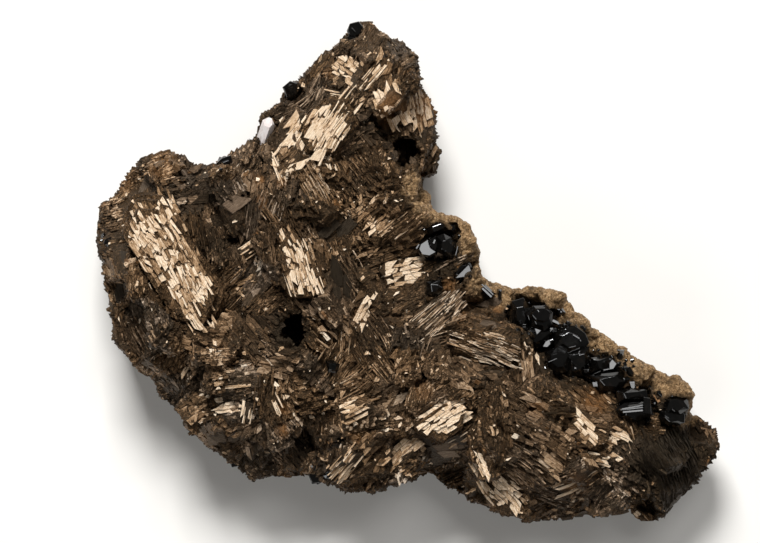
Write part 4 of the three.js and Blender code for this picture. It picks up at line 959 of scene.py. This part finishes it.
def in_rows(reach, kind):
    """The outlines of the cells that a sheet of mica cracks into: rows along its run, each broken across
    into lengths. Each has four corners, and a point between every two."""
    (short, long), (narrow, wide), _ = CELL_SIZES[kind]
    corners = []
    low = -reach
    while low < reach:
        high = low + narrow + (wide - narrow) * rng.random() ** 1.5
        count = int(3 * reach / (short + long)) + 3
        steps = short + (long - short) * rng.random(count) ** 1.4
        cracks = np.cumsum(steps) - reach - steps[0] * rng.random()
        skews = rng.normal(0, 1, count) * CELL_SKEW * (high - low) / 2
        for start, end, skew, next_skew in zip(cracks[:-1], cracks[1:], skews[:-1], skews[1:]):
            splits = [low, high]
            if rng.random() < CELL_SPLIT and high - low > 2 * narrow:
                splits.insert(1, low + (high - low) * (0.35 + 0.3 * rng.random()))
            for under, over in zip(splits[:-1], splits[1:]):
                left, right = (2 * (level - low) / (high - low) - 1 for level in (under, over))
                corners.append([
                    (start + skew * left, under), (end + next_skew * left, under),
                    (end + next_skew * right, over), (start + skew * right, over),
                ])
        low = high
    corners = np.array(corners)
    middle = corners.mean(axis=1, keepdims=True)
    away = corners - middle
    corners = middle + away * (1 - CELL_GAP / np.maximum(np.abs(away), CELL_GAP * 2))
    edge = np.roll(corners, -1, axis=1) - corners
    sideways = np.stack([-edge[..., 1], edge[..., 0]], axis=-1)
    one_each = corners.shape[:2] + (1,)
    bend = rng.normal(0, 0.05, one_each) + 0.12 * (rng.random(one_each) - 0.5)
    share = 0.3 + 0.4 * rng.random(one_each)
    most = np.minimum(np.linalg.norm(edge, axis=2, keepdims=True), 0.7)
    between = corners + share * edge + unit(sideways) * bend * most
    return np.stack([corners, between], axis=2).reshape(len(corners), -1, 2)


class Ground:
    """The surface that leaves are laid on."""

    def __init__(self, surfaces):
        points, faces = [], []
        for surface_points, surface_faces in surfaces:
            faces += [[corner + len(points) for corner in face] for face in surface_faces]
            points += surface_points.tolist()
        self.tree = BVHTree.FromPolygons(points, faces)

    def carries(self, ends, most=MOST_LIFTED):
        """Whether the surface is close under each place."""
        height, _, found = self.under(ends[:, :2])
        return found & (ends[:, 2] - height < most)

    def under(self, places):
        """Height and normal of the surface under each place, and whether there is any."""
        count = len(places)
        height, normal, found = np.zeros(count), np.zeros((count, 3)), np.zeros(count, bool)
        for index, (x, y) in enumerate(places):
            hit, facing, _, _ = self.tree.ray_cast(Vector((x, y, 60)), Vector((0, 0, -1)))
            if hit is not None:
                height[index], normal[index], found[index] = hit.z, facing, True
        return height, normal, found


def anywhere(ends):
    return np.ones(len(ends), bool)


def lattice(middle, reach, step, turn=0.0):
    """Scattered places around a middle, about a step apart along and across a direction."""
    u, v = (np.arange(-far, far + gap, gap) for far, gap in zip(reach, step))
    grid = np.stack(np.meshgrid(u, v), axis=-1)
    grid[1::2, :, 0] += step[0] / 2
    grid = grid.reshape(-1, 2) + (rng.random((grid.size // 2, 2)) - 0.5) * np.array(step) * 0.7
    cos, sin = math.cos(math.radians(turn)), math.sin(math.radians(turn))
    return grid @ np.array([[cos, sin], [-sin, cos]]) + np.array(middle)


def level_plane(places, height):
    """The normal of the plane that fits best through places at those heights."""
    if len(places) < 4:
        return UP
    fit, *_ = np.linalg.lstsq(np.column_stack([places, np.ones(len(places))]), height, rcond=None)
    return unit(np.array([-fit[0], -fit[1], 1.0]))


# A patch's tone, with its painted highlight, made uneven in clumps and at random.
def patch_tone(places, tone, uneven):
    clump = swell(places, 2.2, 17) - 0.5
    tone = tone + pull(-uneven, 0.4 * uneven, len(places)) + 0.5 * clump * uneven
    return np.clip(tone, DARKEST, BRIGHTEST)


def lay_plates(leaves, patch, ground):
    """The loose leaves of one patch."""
    middle, half_length, _, _, run, lie, tone = patch
    step = [sum(size) / 2 * PLATE_SPACING for size in LEAF_SIZES[lie][:2]]
    spread, uneven, missing = LEAF_SPREAD[lie]
    places = lattice(middle, [half_length * 1.5] * 2, step, run)
    places = places[inside_patch(places, patch, 0.97)]
    places = places[rng.random(len(places)) > missing]
    height, _, found = ground.under(places)
    places, height = places[found], height[found]
    count = len(places)
    along, flat = patch_axes(patch, count, spread)
    flat = unit(flat + 1.2 * (level_plane(places, height) - UP))
    leaves.lay(
        lie,
        lambda ends: inside_patch(ends, patch, 1.05) & ground.carries(ends),
        at=np.column_stack([places, height + pull(-0.08, 0.22, count)]), along=squared(along, flat),
        flat=flat, tone=patch_tone(places, tone, uneven), ash=np.full(count, 0.3),
        rust=0.4 * spots(places, RUST),
    )


def eased_ground(places, height, normal):
    """The height and the facing of the surface at each place, evened out over a little way around it."""
    off = places[:, None] - places[None]
    weight = np.exp(-dot(off, off) / (2 * FACING_REACH**2))
    weight /= weight.sum(axis=1, keepdims=True)
    facing = unit(weight @ normal + 0.15 * UP)
    slope = -facing[:, :2] / facing[:, 2:]
    rise = np.einsum("ijk,ik->ij", off, slope)
    return np.sum(weight * (height[None] + rise), axis=1), facing


def lay_cells(leaves, kind, ground, middle, run, reach, inside, share, look):
    """Lays leaves side by side around a middle, a share of those that are inside. look gives their flat,
    tone and ash from their places and the way the rock faces."""
    ring = in_rows(reach, kind)
    for axis, (far, length) in enumerate(CELL_WARP):
        waves = swell(ring.reshape(-1, 2) + np.array(middle), length, 70 + axis).reshape(ring.shape[:2])
        ring[..., 1] += (waves - 0.5) * far * min(1.0, reach / 3)
    seeds = ring.mean(axis=1)
    turn = math.radians(run)
    ways = np.array([[math.cos(turn), math.sin(turn)], [-math.sin(turn), math.cos(turn)]])
    places = seeds @ ways + np.array(middle)
    height, normal, found = ground.under(places)
    keep = found & inside(places) & (rng.random(len(places)) < share)
    if not keep.any():
        return
    ring, places, height, normal = (ring - seeds[:, None])[keep], places[keep], height[keep], normal[keep]
    eased_height, facing = eased_ground(places, height, normal)
    count = len(places)
    flat, tone, ash = look(places, facing)
    along = squared(np.tile(np.append(ways[0], 0), (count, 1)) + stray(0.02, count), flat)
    level = np.maximum(0.7 * eased_height + 0.3 * height, height - MOST_SUNK) + pull(*CELL_RISE, count)
    at = np.column_stack([places, level])
    good = np.ones(count, bool)
    for pick in (np.min, np.max):
        for axis, way in enumerate((along, np.cross(flat, along))):
            end = at + way * pick(ring[:, :, axis], axis=1)[:, None]
            good &= ground.carries(end, MOST_BRIDGED * (1 + 0.5 * axis))
    rows = {
        "at": at, "along": along, "flat": flat, "ring": ring, "tone": tone, "ash": ash,
        "thickness": pull(*CELL_SIZES[kind][2], count), "rust": 0.5 * spots(places, RUST),
        "comb": np.tile(COMBED[kind], (count, 1)), "sleek": np.full(count, SLEEK.get(kind, 0.0)),
    }
    leaves.add(**{key: values[good] for key, values in rows.items()})


def lay_sheet(leaves, patch, ground):
    """The leaves of one patch that lie side by side, in two layers: of the upper one, little is left."""
    middle, half_length, _, _, run, kind, tone = patch
    spread, uneven, missing = LEAF_SPREAD[kind]
    shine = 0.5 + tone if kind in SHINING else 0.0

    def look(places, facing):
        flat = unit(facing + shine * SHINE + stray(math.radians(spread), len(places)))
        ash = np.full(len(places), PATCH_ASH.get(kind, 0.0) * (1.2 - tone))
        return flat, patch_tone(places, tone, uneven * min(1.0, 2 * tone)), ash

    for layer, share in enumerate(CELL_LAYERS):
        lay_cells(
            leaves, kind, ground, middle, run, 1.3 * half_length,
            lambda places: inside_patch(places, patch, 0.98 - 0.15 * layer), share - missing, look,
        )


def lay_books(leaves, ground):
    """The leaves of the fabric's books, side by side, each book in its own habit."""
    for index, middle in enumerate(fabric.middles):

        def inside(places):
            return (fabric.book_at(places, near=middle) == index) & ~is_taken(places)

        def look(places, facing):
            count = len(places)
            mark, _, _ = cells(places, FACET_SIZE, 90)
            ways = [hashed_mark(mark, 91, axis) - 0.5 for axis in range(2)]
            tilt = FACET_TILT * np.column_stack(ways + [np.zeros(count)])
            flat = unit(0.25 * fabric.flat[index] + facing + tilt + stray(0.05, count))
            pale = rng.random(count)
            base = 0.35 * fabric.tone[index] + 0.65 * mark
            tone = 0.02 + 0.62 * base**2.2 + (0.12 + 0.16 * base) * pale**2.5 + 0.3 * pale**16
            ash = fabric.ash[index] * pull(0.5, 1.0, count)
            # The tone takes painted shade, and the rock's own dark, from the dark places.
            return flat, shaded(tone, spots(places, PAINTED_SHADE_AND_DARK_ROCK), 0.75), ash

        kind, run = fabric.habit[index], fabric.run[index]
        lay_cells(leaves, kind, ground, middle, run, BOOK_SPACING, inside, BOOK_SHARE, look)


def open_ground(step, ground):
    """Scattered places on the crystal side that are taken by nothing else, with height and normal."""
    places = lattice((0, 0), (58, 48), (step, step))
    places = places[~is_taken(places)]
    height, normal, found = ground.under(places)
    return places[found], height[found], normal[found]


def lay_ground(leaves, ground, kind, step):
    """The loose leaves between the patches, which follow the fabric."""
    places, height, normal = open_ground(step, ground)
    book = fabric.book_at(np.column_stack([places, height]))
    count = len(places)
    steep = (1 - normal[:, 2:]) * 2.0
    flat = unit(fabric.flat[book] + stray(0.09, count) + (0.4 + steep) * normal)
    along = squared(fabric.along[book] + stray(0.12, count), flat)
    off = np.cross(flat, along) * pull(-0.5, 0.5, count)[:, None]
    off = off + along * pull(-0.6, 0.6, count)[:, None]
    at = np.column_stack([places, height]) + off + flat * GROUND_RISE
    rng.random(count)  # a spare draw: without it, every later one would come out differently
    pale = rng.random(count)
    tone = 0.03 + 0.22 * fabric.tone[book] ** 1.5 + 0.34 * pale**2.5 + 0.42 * pale**10
    # The tone passed on is darkened by painted shade, and the rock's own dark, in the dark places.
    leaves.lay(
        kind, ground.carries, at=at, along=along, flat=flat,
        tone=tone * (1 - 0.75 * spots(places, PAINTED_SHADE_AND_DARK_ROCK)), ash=fabric.ash[book] * rng.random(count),
        rust=np.maximum(0.8 * spots(at[:, :2], RUST), 0.5 * (rng.random(count) < 0.06)),
    )


def lay_eaves(leaves, ground):
    """Dark slabs that reach over the edges of the pits, which makes their mouths uneven."""
    for middle, radius, _ in PITS:
        way = around(pull(0, 2 * np.pi, int(6 * radius)))
        height, _, found = ground.under(np.array(middle) + way * (1.9 * radius + 1.2))
        way, height = way[found], height[found]
        places = np.array(middle) + way * pull(1.3 * radius, 1.9 * radius, len(way))[:, None]
        clear = spots(places, PITS) < 0.25
        way, height, places = way[clear], height[clear], places[clear]
        count = len(way)
        along = unit(np.column_stack([way + rng.normal(0, 0.5, (count, 2)), pull(0.2, 0.7, count)]))
        flat = unit(np.cross(along, np.cross(UP, along)) + stray(0.15, count))
        at = np.column_stack([places, np.minimum(height, np.median(height)) - pull(0.4, 1.6, count)])
        leaves.lay(
            "eaves", anywhere, at=at, along=squared(along, flat), flat=flat,
            tone=pull(0.04, 0.24, count), ash=pull(0.0, 0.8, count), rust=np.zeros(count),
        )


def lay_glints(leaves, ground):
    """Small bright flecks that happen to face the light, with a painted highlight in their pale tone."""
    places, height, normal = open_ground(GLINT_STEP, ground)
    level = normal[:, 2] > 0.5
    places, height = places[level], height[level]
    count = len(places)
    flat = unit(SHINE + stray(0.12, count))
    along = unit(np.cross(flat, stray(1, count)))
    # Their pale tone is a painted highlight, dimmed by painted shade in the dark places.
    tone = pull(0.5, 1.0, count) * (1 - 0.5 * spots(places, PAINTED_SHADE_AND_DARK_ROCK))
    at = np.column_stack([places, height + pull(0.15, 0.45, count)])
    none = np.zeros(count)
    leaves.lay("glints", ground.carries, at=at, along=along, flat=flat, tone=tone, ash=none, rust=none)


def lay_sides(leaves, points, faces):
    """The leaves around the sides and over the back's edge."""
    facing = unit(normals_of(points, faces)[faces].mean(axis=1))
    middle = points[faces].mean(axis=1)
    chosen = np.flatnonzero((facing[:, 2] < 0.45) & (facing[:, 2] > -0.5) & (middle[:, 2] > 1.2))
    chosen = chosen[crust_share(middle[chosen]) < 0.6]
    chosen = chosen[rng.random(len(chosen)) < VOXEL**2 / SIDE_STEP**2]
    at, normal = middle[chosen], facing[chosen]
    count = len(at)
    book = fabric.book_at(at)
    flat = fabric.flat[book]
    flat = flat * np.where(dot(flat, normal) < 0, -1, 1)[:, None]
    flat = unit(0.1 * flat + normal + stray(0.04, count))
    along = squared(unit(np.cross(flat, UP) + stray(0.4, count)), flat)
    tone = 0.05 + 0.22 * fabric.tone[book] + 0.36 * rng.random(count) ** 4
    # The tone passed on takes painted shade, and the rock's own dark, from the dark places.
    leaves.lay(
        "sides", anywhere, at=at + flat * pull(0.05, 0.30, count)[:, None], along=along, flat=flat,
        tone=shaded(tone, spots(at[:, :2], PAINTED_SHADE_AND_DARK_ROCK), 0.8), ash=fabric.ash[book],
        rust=0.6 * (rng.random(count) < 0.02),
    )


# ---------------------------------------------------------------- finishes


class Value:
    """What comes out of a node's socket, so that sums on it can be written as sums."""

    def __init__(self, finish, socket):
        self.finish, self.socket = finish, socket

    def sum(self, operation, *terms):
        return self.finish.value("ShaderNodeMath", {"operation": operation}, dict(enumerate(terms)))

    def __add__(self, other):
        return self.sum("ADD", self, other)

    def __sub__(self, other):
        return self.sum("SUBTRACT", self, other)

    def __rsub__(self, other):
        return self.sum("SUBTRACT", other, self)

    def __mul__(self, other):
        return self.sum("MULTIPLY", self, other)

    __radd__ = __add__
    __rmul__ = __mul__

    def held(self):
        """The value kept between 0 and 1."""
        return self.finish.value("ShaderNodeClamp", {}, {0: self})


class Finish:
    """A material, built node by node around one Principled shader."""

    def __init__(self, name):
        self.material = bpy.data.materials.new(name)
        self.material.use_nodes = True
        self.tree = self.material.node_tree
        self.tree.nodes.clear()

    def node(self, kind, settings, inputs):
        """A node with its settings set first, and then the values or links of its sockets."""
        new = self.tree.nodes.new(kind)
        for key, value in settings.items():
            if key == "stops":
                fill_ramp(new.color_ramp, value)
            else:
                setattr(new, key, value)
        for key, value in inputs.items():
            if isinstance(value, Value):
                self.tree.links.new(value.socket, new.inputs[key])
            else:
                new.inputs[key].default_value = value
        return new

    def value(self, kind, settings, inputs, output=0):
        return Value(self, self.node(kind, settings, inputs).outputs[output])

    def attribute(self, name, output="Fac"):
        return self.value("ShaderNodeAttribute", {"attribute_name": name}, {}, output)

    def noise(self, place, scale, detail, roughness):
        sockets = {"Vector": place, "Scale": scale, "Detail": detail, "Roughness": roughness}
        return self.value("ShaderNodeTexNoise", {}, sockets)

    def stretched(self, place, *stretch):
        return self.value("ShaderNodeVectorMath", {"operation": "MULTIPLY"}, {0: place, 1: stretch})

    def ramp(self, share, stops):
        return self.value("ShaderNodeValToRGB", {"stops": stops}, {"Fac": share})

    def mixed(self, share, a, b):
        return self.value("ShaderNodeMix", {"data_type": "RGBA"}, {0: share, 6: a, 7: b}, 2)

    def bump(self, height, strength, distance):
        sockets = {"Height": height, "Strength": strength, "Distance": distance}
        return self.value("ShaderNodeBump", {}, sockets)

    def shade(self, inputs):
        """The Principled shader that shows, with these sockets."""
        shader = self.node("ShaderNodeBsdfPrincipled", {}, inputs)
        output = self.node("ShaderNodeOutputMaterial", {}, {})
        self.tree.links.new(shader.outputs[0], output.inputs["Surface"])
        return self.material


def fill_ramp(ramp, stops):
    """Fills a ramp with colours, from their web codes by position."""
    for index, (position, code) in enumerate(stops.items()):
        stop = ramp.elements[index] if index < 2 else ramp.elements.new(position)
        stop.position, stop.color = position, tint(code)


def tint(code):
    """A colour from its web code, as light."""
    channels = [int(code[start : start + 2], 16) / 255 for start in (1, 3, 5)]
    return tuple(c / 12.92 if c <= 0.04045 else ((c + 0.055) / 1.055) ** 2.4 for c in channels) + (1.0,)


def mica_finish(name, metal):
    """Bronze mica: dark and greasy to pale and pearly by its tone, streaked along its leaves, with painted
    glints as bright specks in the tone, and rusty in spots. It passes into the tan crust where there is
    any. metal says how metallic its sheen is."""
    finish = Finish(name)
    grain = finish.attribute("grain", "Vector")
    tone, rust, ash, crust, ore = map(finish.attribute, ("tone", "rust", "ash", "crust", "ore"))
    rough = 1 - finish.attribute("sleek")
    streaks = finish.noise(finish.stretched(grain, 0.9, 5.4, 1.0), 1.0, 5, 0.8)
    speckle = finish.noise(grain, 2.8, 5, 0.85)
    # glints and flecks are painted glints: bright specks painted into the tone.
    glints = finish.noise(finish.stretched(grain, 1.8, 4.0, 1.6), 1.2, 2, 0.5)
    flecks = ((glints - 0.62) * 8.0).held()
    pale = (tone + rough * ((streaks - 0.5) * 1.2 + (speckle - 0.5) * 1.5 + flecks * 0.35)).held()
    bronze = finish.ramp(
        pale, {0.0: "#0d0805", 0.2: "#3c2b1b", 0.42: "#7e6246", 0.68: "#bd9f7e", 1.0: "#ebd9c0"}
    )
    grey = finish.ramp(pale, {0.0: "#0f0d0b", 0.25: "#38322c", 0.5: "#6b6056", 1.0: "#cfc2b2"})
    rusty = finish.ramp(speckle, {0.3: "#33220f", 0.5: "#6f4a29", 0.72: "#a87d50"})
    mica = finish.mixed((rust * (0.35 + speckle * 0.9)).held(), finish.mixed(ash, bronze, grey), rusty)
    place = finish.stretched(finish.value("ShaderNodeTexCoord", {}, {}, "Object"), 1 / MM, 1 / MM, 1 / MM)
    grit = finish.noise(place, 2.2, 5, 0.8)
    sandy = finish.ramp(grit, {0.31: "#150f09", 0.42: "#57432d", 0.53: "#947653", 0.68: "#cdb18c"})
    patches = ((finish.noise(place, 0.5, 3, 0.7) - 0.49) * 5.0).held()
    crusted = finish.mixed(patches * 0.8, sandy, tint("#2b2117"))
    lustre = (1 - crust) * (1 - rust * 0.8) * (1 - ore)
    return finish.shade(
        {
            "Base Color": finish.mixed(ore, finish.mixed(crust, mica, crusted), tint("#0b0a09")),
            "Metallic": lustre * (0.10 + tone * 0.25) * metal,
            "Roughness": 0.66 - lustre * (0.16 + tone * 0.06) + (speckle - 0.5) * 0.3 - ore * 0.35,
            "Specular Tint": tint("#e8c8a0"),
            "Normal": finish.bump(streaks * 0.6 + speckle * 0.4 + grit * crust * 1.6, 0.8, 0.0005),
        }
    )


def cassiterite_finish():
    """Black cassiterite: near black, with a bright adamantine lustre and faint growth lines."""
    finish = Finish("black_cassiterite")
    grain = finish.attribute("grain", "Vector")
    lines = finish.noise(finish.stretched(grain, 0.25, 4.5, 1.0), 1.0, 3, 0.6)
    cloud = finish.noise(grain, 0.5, 3, 0.6)
    return finish.shade(
        {
            "Base Color": finish.ramp(cloud, {0.3: "#020202", 0.6: "#080706", 0.85: "#1a130e"}),
            "Roughness": 0.05 + cloud * 0.10,
            "IOR": 1.9,
            "Specular IOR Level": 0.32,
            "Normal": finish.bump(lines, 0.25, 0.00004),
        }
    )


def quartz_finish():
    """Clear, faintly pink quartz."""
    finish = Finish("clear_quartz")
    veil = finish.noise(finish.attribute("grain", "Vector"), 0.9, 4, 0.6)
    return finish.shade(
        {
            "Base Color": finish.ramp(veil, {0.3: "#f3e4de", 0.7: "#fff8f4"}),
            "Roughness": 0.06 + veil * 0.2,
            "IOR": 1.55,
            "Transmission Weight": 0.5,
            "Normal": finish.bump(veil, 0.2, 0.00005),
        }
    )


def floor_finish():
    """A plain pale floor."""
    finish = Finish("pale_floor")
    soft = finish.noise(finish.value("ShaderNodeTexCoord", {}, {}, "Object"), 6.0, 2, 0.5)
    colour = finish.ramp(soft, {0.3: "#d2d0cc", 0.7: "#d9d7d3"})
    return finish.shade({"Base Color": colour, "Roughness": 0.9})


# ---------------------------------------------------------------- crystals


def crystal_grain(mesh):
    """Gives each face of a crystal its own direction of growth lines."""
    points = points_of(mesh, 1 / MM)
    grain = np.zeros((len(mesh.loops), 3), np.float32)
    for face in mesh.polygons:
        normal = np.array(face.normal)
        along = unit(np.cross(normal, UP) + 1e-6)
        across = np.cross(normal, along)
        for loop in face.loop_indices:
            place = points[mesh.loops[loop].vertex_index]
            grain[loop] = (place @ along, place @ across, face.index * 0.37)
    store = mesh.attributes.new("grain", "FLOAT_VECTOR", "CORNER")
    store.data.foreach_set("vector", grain.ravel())


def crystal_piece(name, shape):
    """A mesh object from crystals, their edges bevelled and each face with its own growth lines."""
    bmesh.ops.remove_doubles(shape, verts=shape.verts, dist=0.002 * MM)
    bmesh.ops.dissolve_limit(shape, angle_limit=math.radians(1), verts=shape.verts, edges=shape.edges)
    bmesh.ops.bevel(
        shape, geom=shape.edges, offset=BEVEL * MM, segments=1, profile=0.5, affect="EDGES",
        clamp_overlap=True,
    )
    bmesh.ops.triangulate(shape, faces=shape.faces)
    mesh = bpy.data.meshes.new(name)
    shape.to_mesh(mesh)
    shape.free()
    piece = placed(name, mesh)
    crystal_grain(mesh)
    return piece


def quartz_point():
    """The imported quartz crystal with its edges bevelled."""
    shape = bmesh.new()
    shape.from_mesh(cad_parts["quartz_crystal"].data)
    return crystal_piece("quartz_point", shape)


def hull(shape, points):
    """Adds the convex body around points to a shape."""
    corners = [shape.verts.new(point * MM) for point in kept_inside(points)]
    found = bmesh.ops.convex_hull(shape, input=corners)
    spare = [each for each in found["geom_interior"] if isinstance(each, bmesh.types.BMVert)]
    bmesh.ops.delete(shape, geom=spare, context="VERTS")


def on_plane(corners, middle, flat):
    """Places over corners, on the plane through a middle that faces flat."""
    off = corners - middle[:2]
    return np.column_stack([corners, middle[2] - (off @ flat[:2]) / flat[2]])


def shrunk(corners, share):
    middle = corners.mean(axis=0)
    return middle + (corners - middle) * share


def bar_corners(start, end, width):
    """The corners of a narrow face, from its ends and its width."""
    start, end = np.array(start), np.array(end)
    side = unit(np.array([start[1] - end[1], end[0] - start[0]])) * width / 2
    return np.array([start + side, end + side, end - side, start - side])


def cut_face(shape, corners, middle, spread):
    """Adds a bright face, a thin slab that is turned to the light or a little off it."""
    turn = unit(GLOW + rng.normal(0, spread, 3))
    top = on_plane(corners, middle, turn)
    foot = on_plane(shrunk(corners, 1.12), middle - [0, 0, 0.9], turn)
    hull(shape, np.concatenate([top, foot]))


def cut_crystal(shape, corners, middle, crown_share, belt_drop):
    """Adds a whole crystal: a dark crown, a belt around it and a foot in the rock."""
    lean = unit(direction(*UNLIT) + np.append(rng.normal(0, 0.07, 2), 0.0))
    crown = on_plane(shrunk(corners, crown_share) + rng.normal(0, 0.12, corners.shape), middle, lean)
    belt = on_plane(corners, middle - [0, 0, belt_drop], unit(lean + UP))
    reach = np.ptp(corners, axis=0).max()
    taper = 0.9 if reach > SMALL_CRYSTAL else 0.5
    foot = on_plane(shrunk(corners, taper), middle - [0, 0, min(MOST_ROOT, reach)], UP)
    hull(shape, np.concatenate([crown, belt, foot]))


def cut_crystals(node, ground):
    """The crystals of a node, cut face by face."""
    shape = bmesh.new()
    _, top = (np.array(corner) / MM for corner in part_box(node))
    for kind, corners in [(kind, each) for kind, *row in CUTS[node] for each in row]:
        marks = np.array(corners[:2] if kind == "bar" else corners, float)
        height, _, _ = ground.under(np.concatenate([[marks.mean(axis=0)], shrunk(marks, 0.6)]))
        if kind == "bar":
            marks = bar_corners(*corners)
        level = min(np.median(height), top[2] - 0.6) + CUT_RISE[kind]
        middle = np.append(marks.mean(axis=0), level)
        if kind in CROWNS:
            cut_crystal(shape, marks, middle, *CROWNS[kind])
        else:
            cut_face(shape, marks, middle, FACE_SPREAD[kind])
    return crystal_piece(node + "_crystals", shape)


def druse(ground):
    """The small black crystals that fill the groove between the large ones."""
    shape = bmesh.new()
    count = DRUSE["count"]
    marks, reach = (np.array([row[part] for row in CRYSTAL_SPACE + RIM_DRUSE]) for part in range(2))
    chosen = rng.choice(len(marks), count, p=reach**2 / (reach**2).sum())
    turn = around(pull(0, 2 * np.pi, count))
    places = marks[chosen] + turn * (reach[chosen] * pull(0.0, 1.0, count) ** 0.6)[:, None]
    height, normal, found = ground.under(places)
    found &= normal[:, 2] > DRUSE["steepest"]
    for place, level, facing in zip(places[found], height[found], normal[found]):
        size = pull(*DRUSE["size"], 1)[0]
        axis = unit(facing + rng.normal(0, 0.45, 3))
        side = unit(np.cross(axis, [1.0, 0.3, 0.2]))
        other = np.cross(axis, side)
        middle = np.append(place, level)
        ring = [side, other, -side, -other]
        girdle = [middle + size * (0.42 * way + 0.10 * axis) for way in ring]
        root = [middle + size * (0.42 * way - 0.8 * axis) for way in ring]
        hull(shape, np.array(girdle + root + [middle + size * 0.5 * axis]))
    return crystal_piece("cassiterite_druse", shape)


# ---------------------------------------------------------------- the specimen

rock_mica = mica_finish("mica_rock", 0.6)
leaf_mica = mica_finish("mica_leaves", 1.0)
black = cassiterite_finish()

rock_points, rock_faces, rock_normals, rock_known, evened_points = rock()
rock_pieces(rock_points, rock_faces, rock_normals, rock_known, rock_mica)
rock_surface = (rock_points, rock_faces.tolist())
ground = Ground([rock_surface] + [book_rock(node, rock_mica) for node in BOOKS])

pile = Leaves(6)
for patch in PATCHES:
    (lay_sheet if patch[5] in CELL_SIZES else lay_plates)(pile, patch, ground)
lay_books(pile, ground)
lay_ground(pile, ground, "ground", GROUND_STEP)
lay_eaves(pile, ground)
lay_sides(pile, evened_points, rock_faces)
flecks = Leaves(4)
lay_ground(flecks, ground, "flecks", FLECK_STEP)
lay_glints(flecks, ground)
for kind, heap, names in (
    ("leaves", pile, ("left", "middle", "right")),
    ("flecks", flecks, ("left", "right")),
):
    edges = np.quantile(heap.places(), np.linspace(0, 1, len(names) + 1))
    edges[-1] += 1
    for name, low, high in zip(names, edges[:-1], edges[1:]):
        dress(heap.mesh(f"mica_{kind}_{name}", low, high), leaf_mica, "mica")

packed = [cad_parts[node].data for node in CUTS]
crystals = [(points_of(mesh, 1 / MM), [face.vertices[:] for face in mesh.polygons]) for mesh in packed]
groove = Ground([rock_surface] + crystals)
for node in sorted(CUTS):
    dress(cut_crystals(node, groove), black, "cassiterite", node)
dress(druse(ground), black, "cassiterite")
dress(quartz_point(), quartz_finish(), "quartz", "quartz_crystal")

# ---------------------------------------------------------------- floor, lights and camera

bpy.ops.mesh.primitive_plane_add(size=FLOOR_SIZE * MM, location=(0, 0, FLOOR_LEVEL * MM))
floor = bpy.context.object
floor.name = "floor"
floor.data.materials.append(floor_finish())


def light(name, turn, height, distance, size, watts):
    """A square soft light that faces the specimen."""
    lamp = bpy.data.lights.new(name, "AREA")
    lamp.size, lamp.energy = size * MM, watts
    place = placed(name, lamp)
    place.location = Vector(direction(turn, height)) * distance * MM
    place.rotation_euler = place.location.to_track_quat("Z", "Y").to_euler()


light("key_light", **KEY)
light("card_light", **CARD)
light("fill_light", **FILL)

world = bpy.data.worlds.new("studio")
world.use_nodes = True
background = world.node_tree.nodes["Background"].inputs
background["Color"].default_value, background["Strength"].default_value = SKY_COLOUR, SKY
bpy.context.scene.world = world

lens = bpy.data.cameras.new("camera")
lens.lens, lens.sensor_width = LENS, SENSOR
lens.clip_start, lens.clip_end = 0.01, 10
camera = placed("camera", lens)
camera.location = np.array([*AIM, FRAME_HEIGHT_LEVEL + FRAME_WIDTH * LENS / SENSOR]) * MM
bpy.context.scene.camera = camera
bpy.context.scene.view_settings.view_transform = "Standard"
